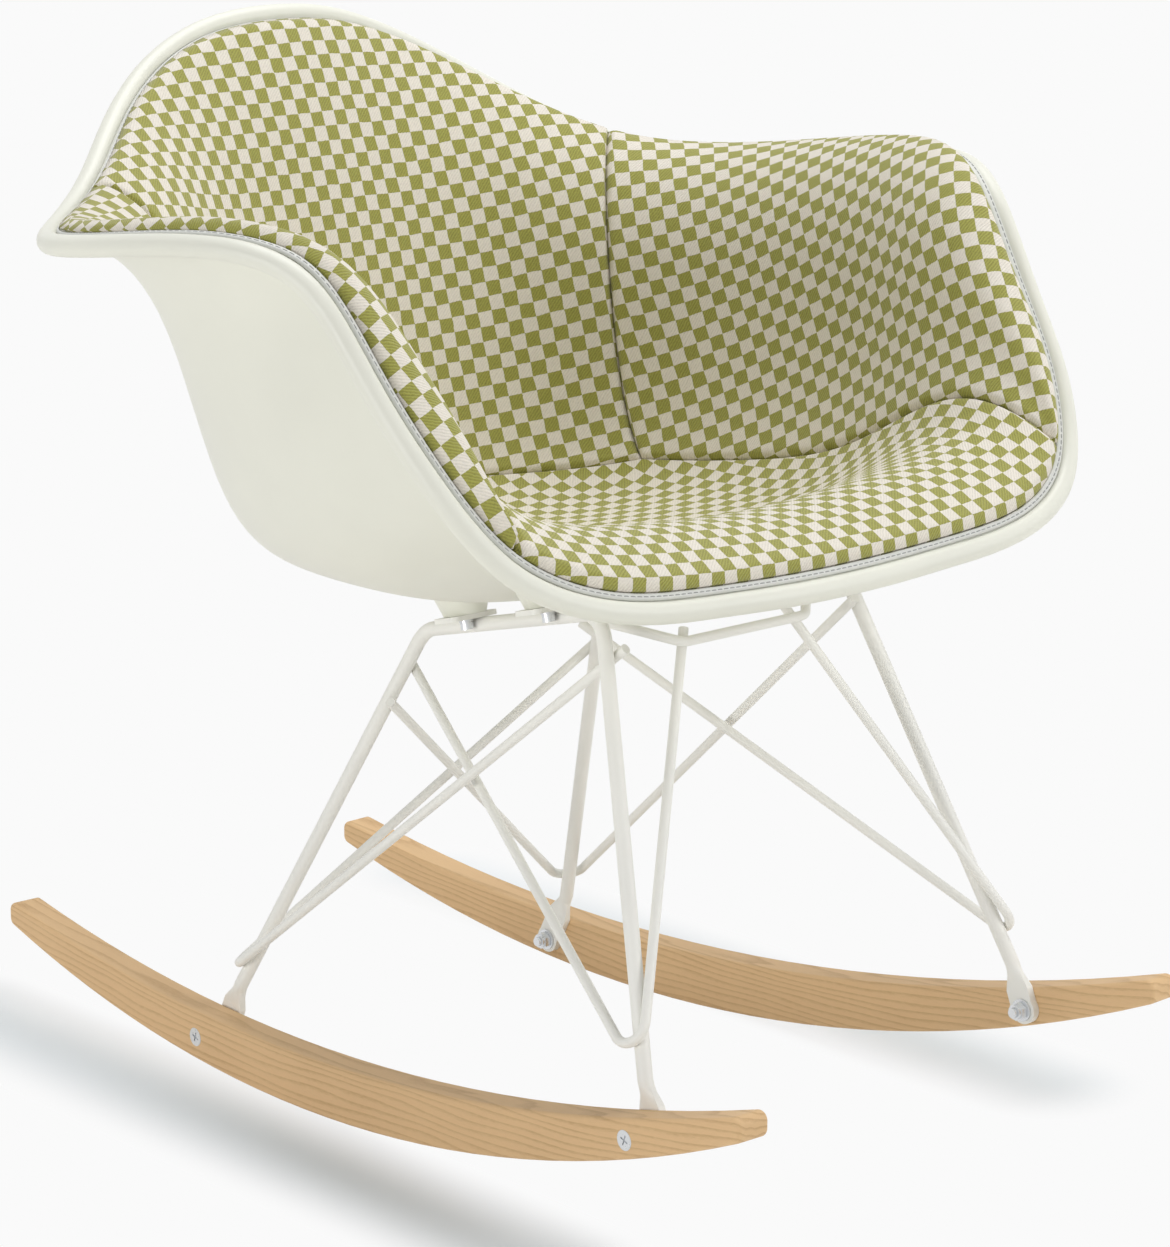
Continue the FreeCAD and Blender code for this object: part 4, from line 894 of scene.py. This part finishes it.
class CHAIR_OT_stage(bpy.types.Operator):
    """Makes the floor, the soft studio light and the camera"""
    bl_idname = "chair.stage"
    bl_label = "Stage"

    def execute(self, context):
        s = settings("chair_stage")
        scene = context.scene
        scene.view_settings.view_transform = "Standard"
        backdrop = hex_colour(s.backdrop)
        self.floor(hex_colour(s.floor), hex_colour(s.shadow), backdrop)
        self.world(backdrop)
        self.lamps()
        camera_data = bpy.data.cameras.new("camera")
        camera_data.sensor_fit = "HORIZONTAL"
        camera_data.sensor_width = 36.0
        camera_data.lens = s.lens
        camera_data.shift_x = (IMAGE_WIDE / 2.0 - CENTRE_X) / IMAGE_WIDE
        camera_data.shift_y = (CENTRE_Y - IMAGE_TALL / 2.0) / IMAGE_WIDE
        camera_data.clip_end = 50.0
        camera = bpy.data.objects.new("camera", camera_data)
        scene.collection.objects.link(camera)
        camera.location = s.camera
        camera.rotation_mode = "QUATERNION"
        camera.rotation_quaternion = Vector(s.ahead).to_track_quat("-Z", "Y")
        scene.camera = camera
        return {"FINISHED"}

    def floor(self, colour, shaded, backdrop):
        """A pale floor that takes the chair's shadow and runs out to plain white."""
        mesh = bpy.data.meshes.new("floor")
        mesh.from_pydata([(x * FLOOR_SIZE, y * FLOOR_SIZE, FLOOR_Z)
                          for x, y in ((-1, -1), (1, -1), (1, 1), (-1, 1))], [], [(0, 1, 2, 3)])
        floor = bpy.data.objects.new("floor", mesh)
        bpy.context.scene.collection.objects.link(floor)
        material, tree, shader = new_material("painted studio floor")
        place = add(tree, "ShaderNodeTexCoord")
        grain = add(tree, "ShaderNodeTexNoise", {"Vector": place.outputs["Object"]}, in_Scale=3.0)
        tone = add(tree, "ShaderNodeValToRGB", {"Fac": grain.outputs["Fac"]},
                   [(0.3, scaled(colour, 0.99)), (0.7, colour)])
        rays = add(tree, "ShaderNodeLightPath")
        cool = add(tree, "ShaderNodeMix", {0: rays.outputs["Is Camera Ray"], 6: tone.outputs["Color"]},
                   data_type="RGBA", in_7=shaded)
        tree.links.new(cool.outputs[2], shader.inputs["Base Color"])
        shader.inputs["Roughness"].default_value = 0.9
        shader.inputs["Specular IOR Level"].default_value = 0.0
        # Seen directly, the floor is the plain backdrop, and keeps the shadow along the rockers.
        parts = add(tree, "ShaderNodeSeparateXYZ", {0: place.outputs["Object"]})
        side = add(tree, "ShaderNodeMath", {0: parts.outputs["X"]}, operation="ABSOLUTE")
        side = add(tree, "ShaderNodeMath", {0: side.outputs[0]}, operation="SUBTRACT", in_1=STRIP_X)
        back = add(tree, "ShaderNodeMath", {0: parts.outputs["Y"]}, operation="SUBTRACT", in_1=STRIP_Y)
        back = add(tree, "ShaderNodeMath", {0: back.outputs[0]}, operation="ABSOLUTE")
        back = add(tree, "ShaderNodeMath", {0: back.outputs[0]}, operation="SUBTRACT", in_1=STRIP_HALF)
        back = add(tree, "ShaderNodeMath", {0: back.outputs[0]}, operation="MAXIMUM", in_1=0.0)
        apart = add(tree, "ShaderNodeCombineXYZ", {"X": side.outputs[0], "Y": back.outputs[0]})
        apart = add(tree, "ShaderNodeVectorMath", {0: apart.outputs[0]}, operation="LENGTH")
        away = add(tree, "ShaderNodeValToRGB", {"Fac": apart.outputs["Value"]},
                   [(0.0, grey(SHADE_LEFT)), (STRIP_FADE, grey(1.0))])
        away.color_ramp.interpolation = "EASE"
        seen = add(tree, "ShaderNodeMath", {0: rays.outputs["Is Camera Ray"],
                                            1: rays.outputs["Is Glossy Ray"]}, operation="MAXIMUM")
        plain = add(tree, "ShaderNodeMath", {0: away.outputs["Color"], 1: seen.outputs[0]},
                    operation="MULTIPLY")
        glow = add(tree, "ShaderNodeEmission", in_Color=backdrop, in_Strength=1.0)
        mix = add(tree, "ShaderNodeMixShader", {0: plain.outputs[0], 1: shader.outputs["BSDF"],
                                                2: glow.outputs[0]})
        output = [n for n in tree.nodes if n.bl_idname == "ShaderNodeOutputMaterial"][0]
        tree.links.new(mix.outputs[0], output.inputs["Surface"])
        mesh.materials.append(material)

    def world(self, backdrop):
        """A dim pale sky that shows as the plain backdrop to the camera and in gloss."""
        world = bpy.data.worlds.new("studio")
        world.use_nodes = True
        sky = world.node_tree
        sky.nodes.clear()
        rays = add(sky, "ShaderNodeLightPath")
        dim = add(sky, "ShaderNodeBackground", in_Color=SKY, in_Strength=SKY_STRENGTH)
        white = add(sky, "ShaderNodeBackground", in_Color=backdrop, in_Strength=1.0)
        seen = add(sky, "ShaderNodeMath", {0: rays.outputs["Is Camera Ray"],
                                           1: rays.outputs["Is Glossy Ray"]}, operation="MAXIMUM")
        mix = add(sky, "ShaderNodeMixShader", {0: seen.outputs[0], 1: dim.outputs[0],
                                               2: white.outputs[0]})
        add(sky, "ShaderNodeOutputWorld", {0: mix.outputs[0]})
        bpy.context.scene.world = world

    def lamps(self):
        """Large soft lamps above, low at the left and at the right of the camera."""
        for name, (place, size, power, aim) in LAMPS.items():
            data = bpy.data.lights.new(name, "AREA")
            data.shape = "SQUARE"
            data.size = size
            data.energy = power
            lamp = bpy.data.objects.new(name, data)
            bpy.context.scene.collection.objects.link(lamp)
            lamp.location = place
            lamp.rotation_mode = "QUATERNION"
            lamp.rotation_quaternion = (Vector(aim) - Vector(place)).to_track_quat("-Z", "Y")


class CHAIR_PT_panel(bpy.types.Panel):
    """Lists the chair's operators and settings"""
    bl_idname = "CHAIR_PT_panel"
    bl_label = "Rocking Armchair"
    bl_space_type = "VIEW_3D"
    bl_region_type = "UI"
    bl_category = "Chair"

    def draw(self, context):
        for operator in OPERATORS:
            self.layout.operator(operator.bl_idname)
        for name, group in GROUPS.items():
            box = self.layout.box()
            for key in group.__annotations__:
                box.prop(getattr(context.scene, name), key)


OPERATORS = [CHAIR_OT_shell, CHAIR_OT_edge, CHAIR_OT_upholstery, CHAIR_OT_wires, CHAIR_OT_rockers,
             CHAIR_OT_fasteners, CHAIR_OT_stage]


def register():
    """Makes the settings, the operators and the panel known."""
    for group in GROUPS.values():
        bpy.utils.register_class(group)
    for operator in OPERATORS + [CHAIR_PT_panel]:
        bpy.utils.register_class(operator)
    for name, group in GROUPS.items():
        setattr(bpy.types.Scene, name, PointerProperty(type=group))


def unregister():
    """Takes them all out again."""
    for name in GROUPS:
        delattr(bpy.types.Scene, name)
    for operator in [CHAIR_PT_panel] + OPERATORS:
        bpy.utils.unregister_class(operator)
    for group in GROUPS.values():
        bpy.utils.unregister_class(group)


def main():
    """Makes the whole chair."""
    for item in list(bpy.context.scene.objects):
        if item.type in {"LIGHT", "CAMERA"} or item.name == "Cube":
            bpy.data.objects.remove(item)
    register()
    bpy.ops.chair.shell()
    bpy.ops.chair.edge()
    bpy.ops.chair.upholstery()
    bpy.ops.chair.wires()
    bpy.ops.chair.rockers()
    bpy.ops.chair.fasteners()
    bpy.ops.chair.stage()
    bpy.context.view_layer.update()


if __name__ == "__main__":
    main()
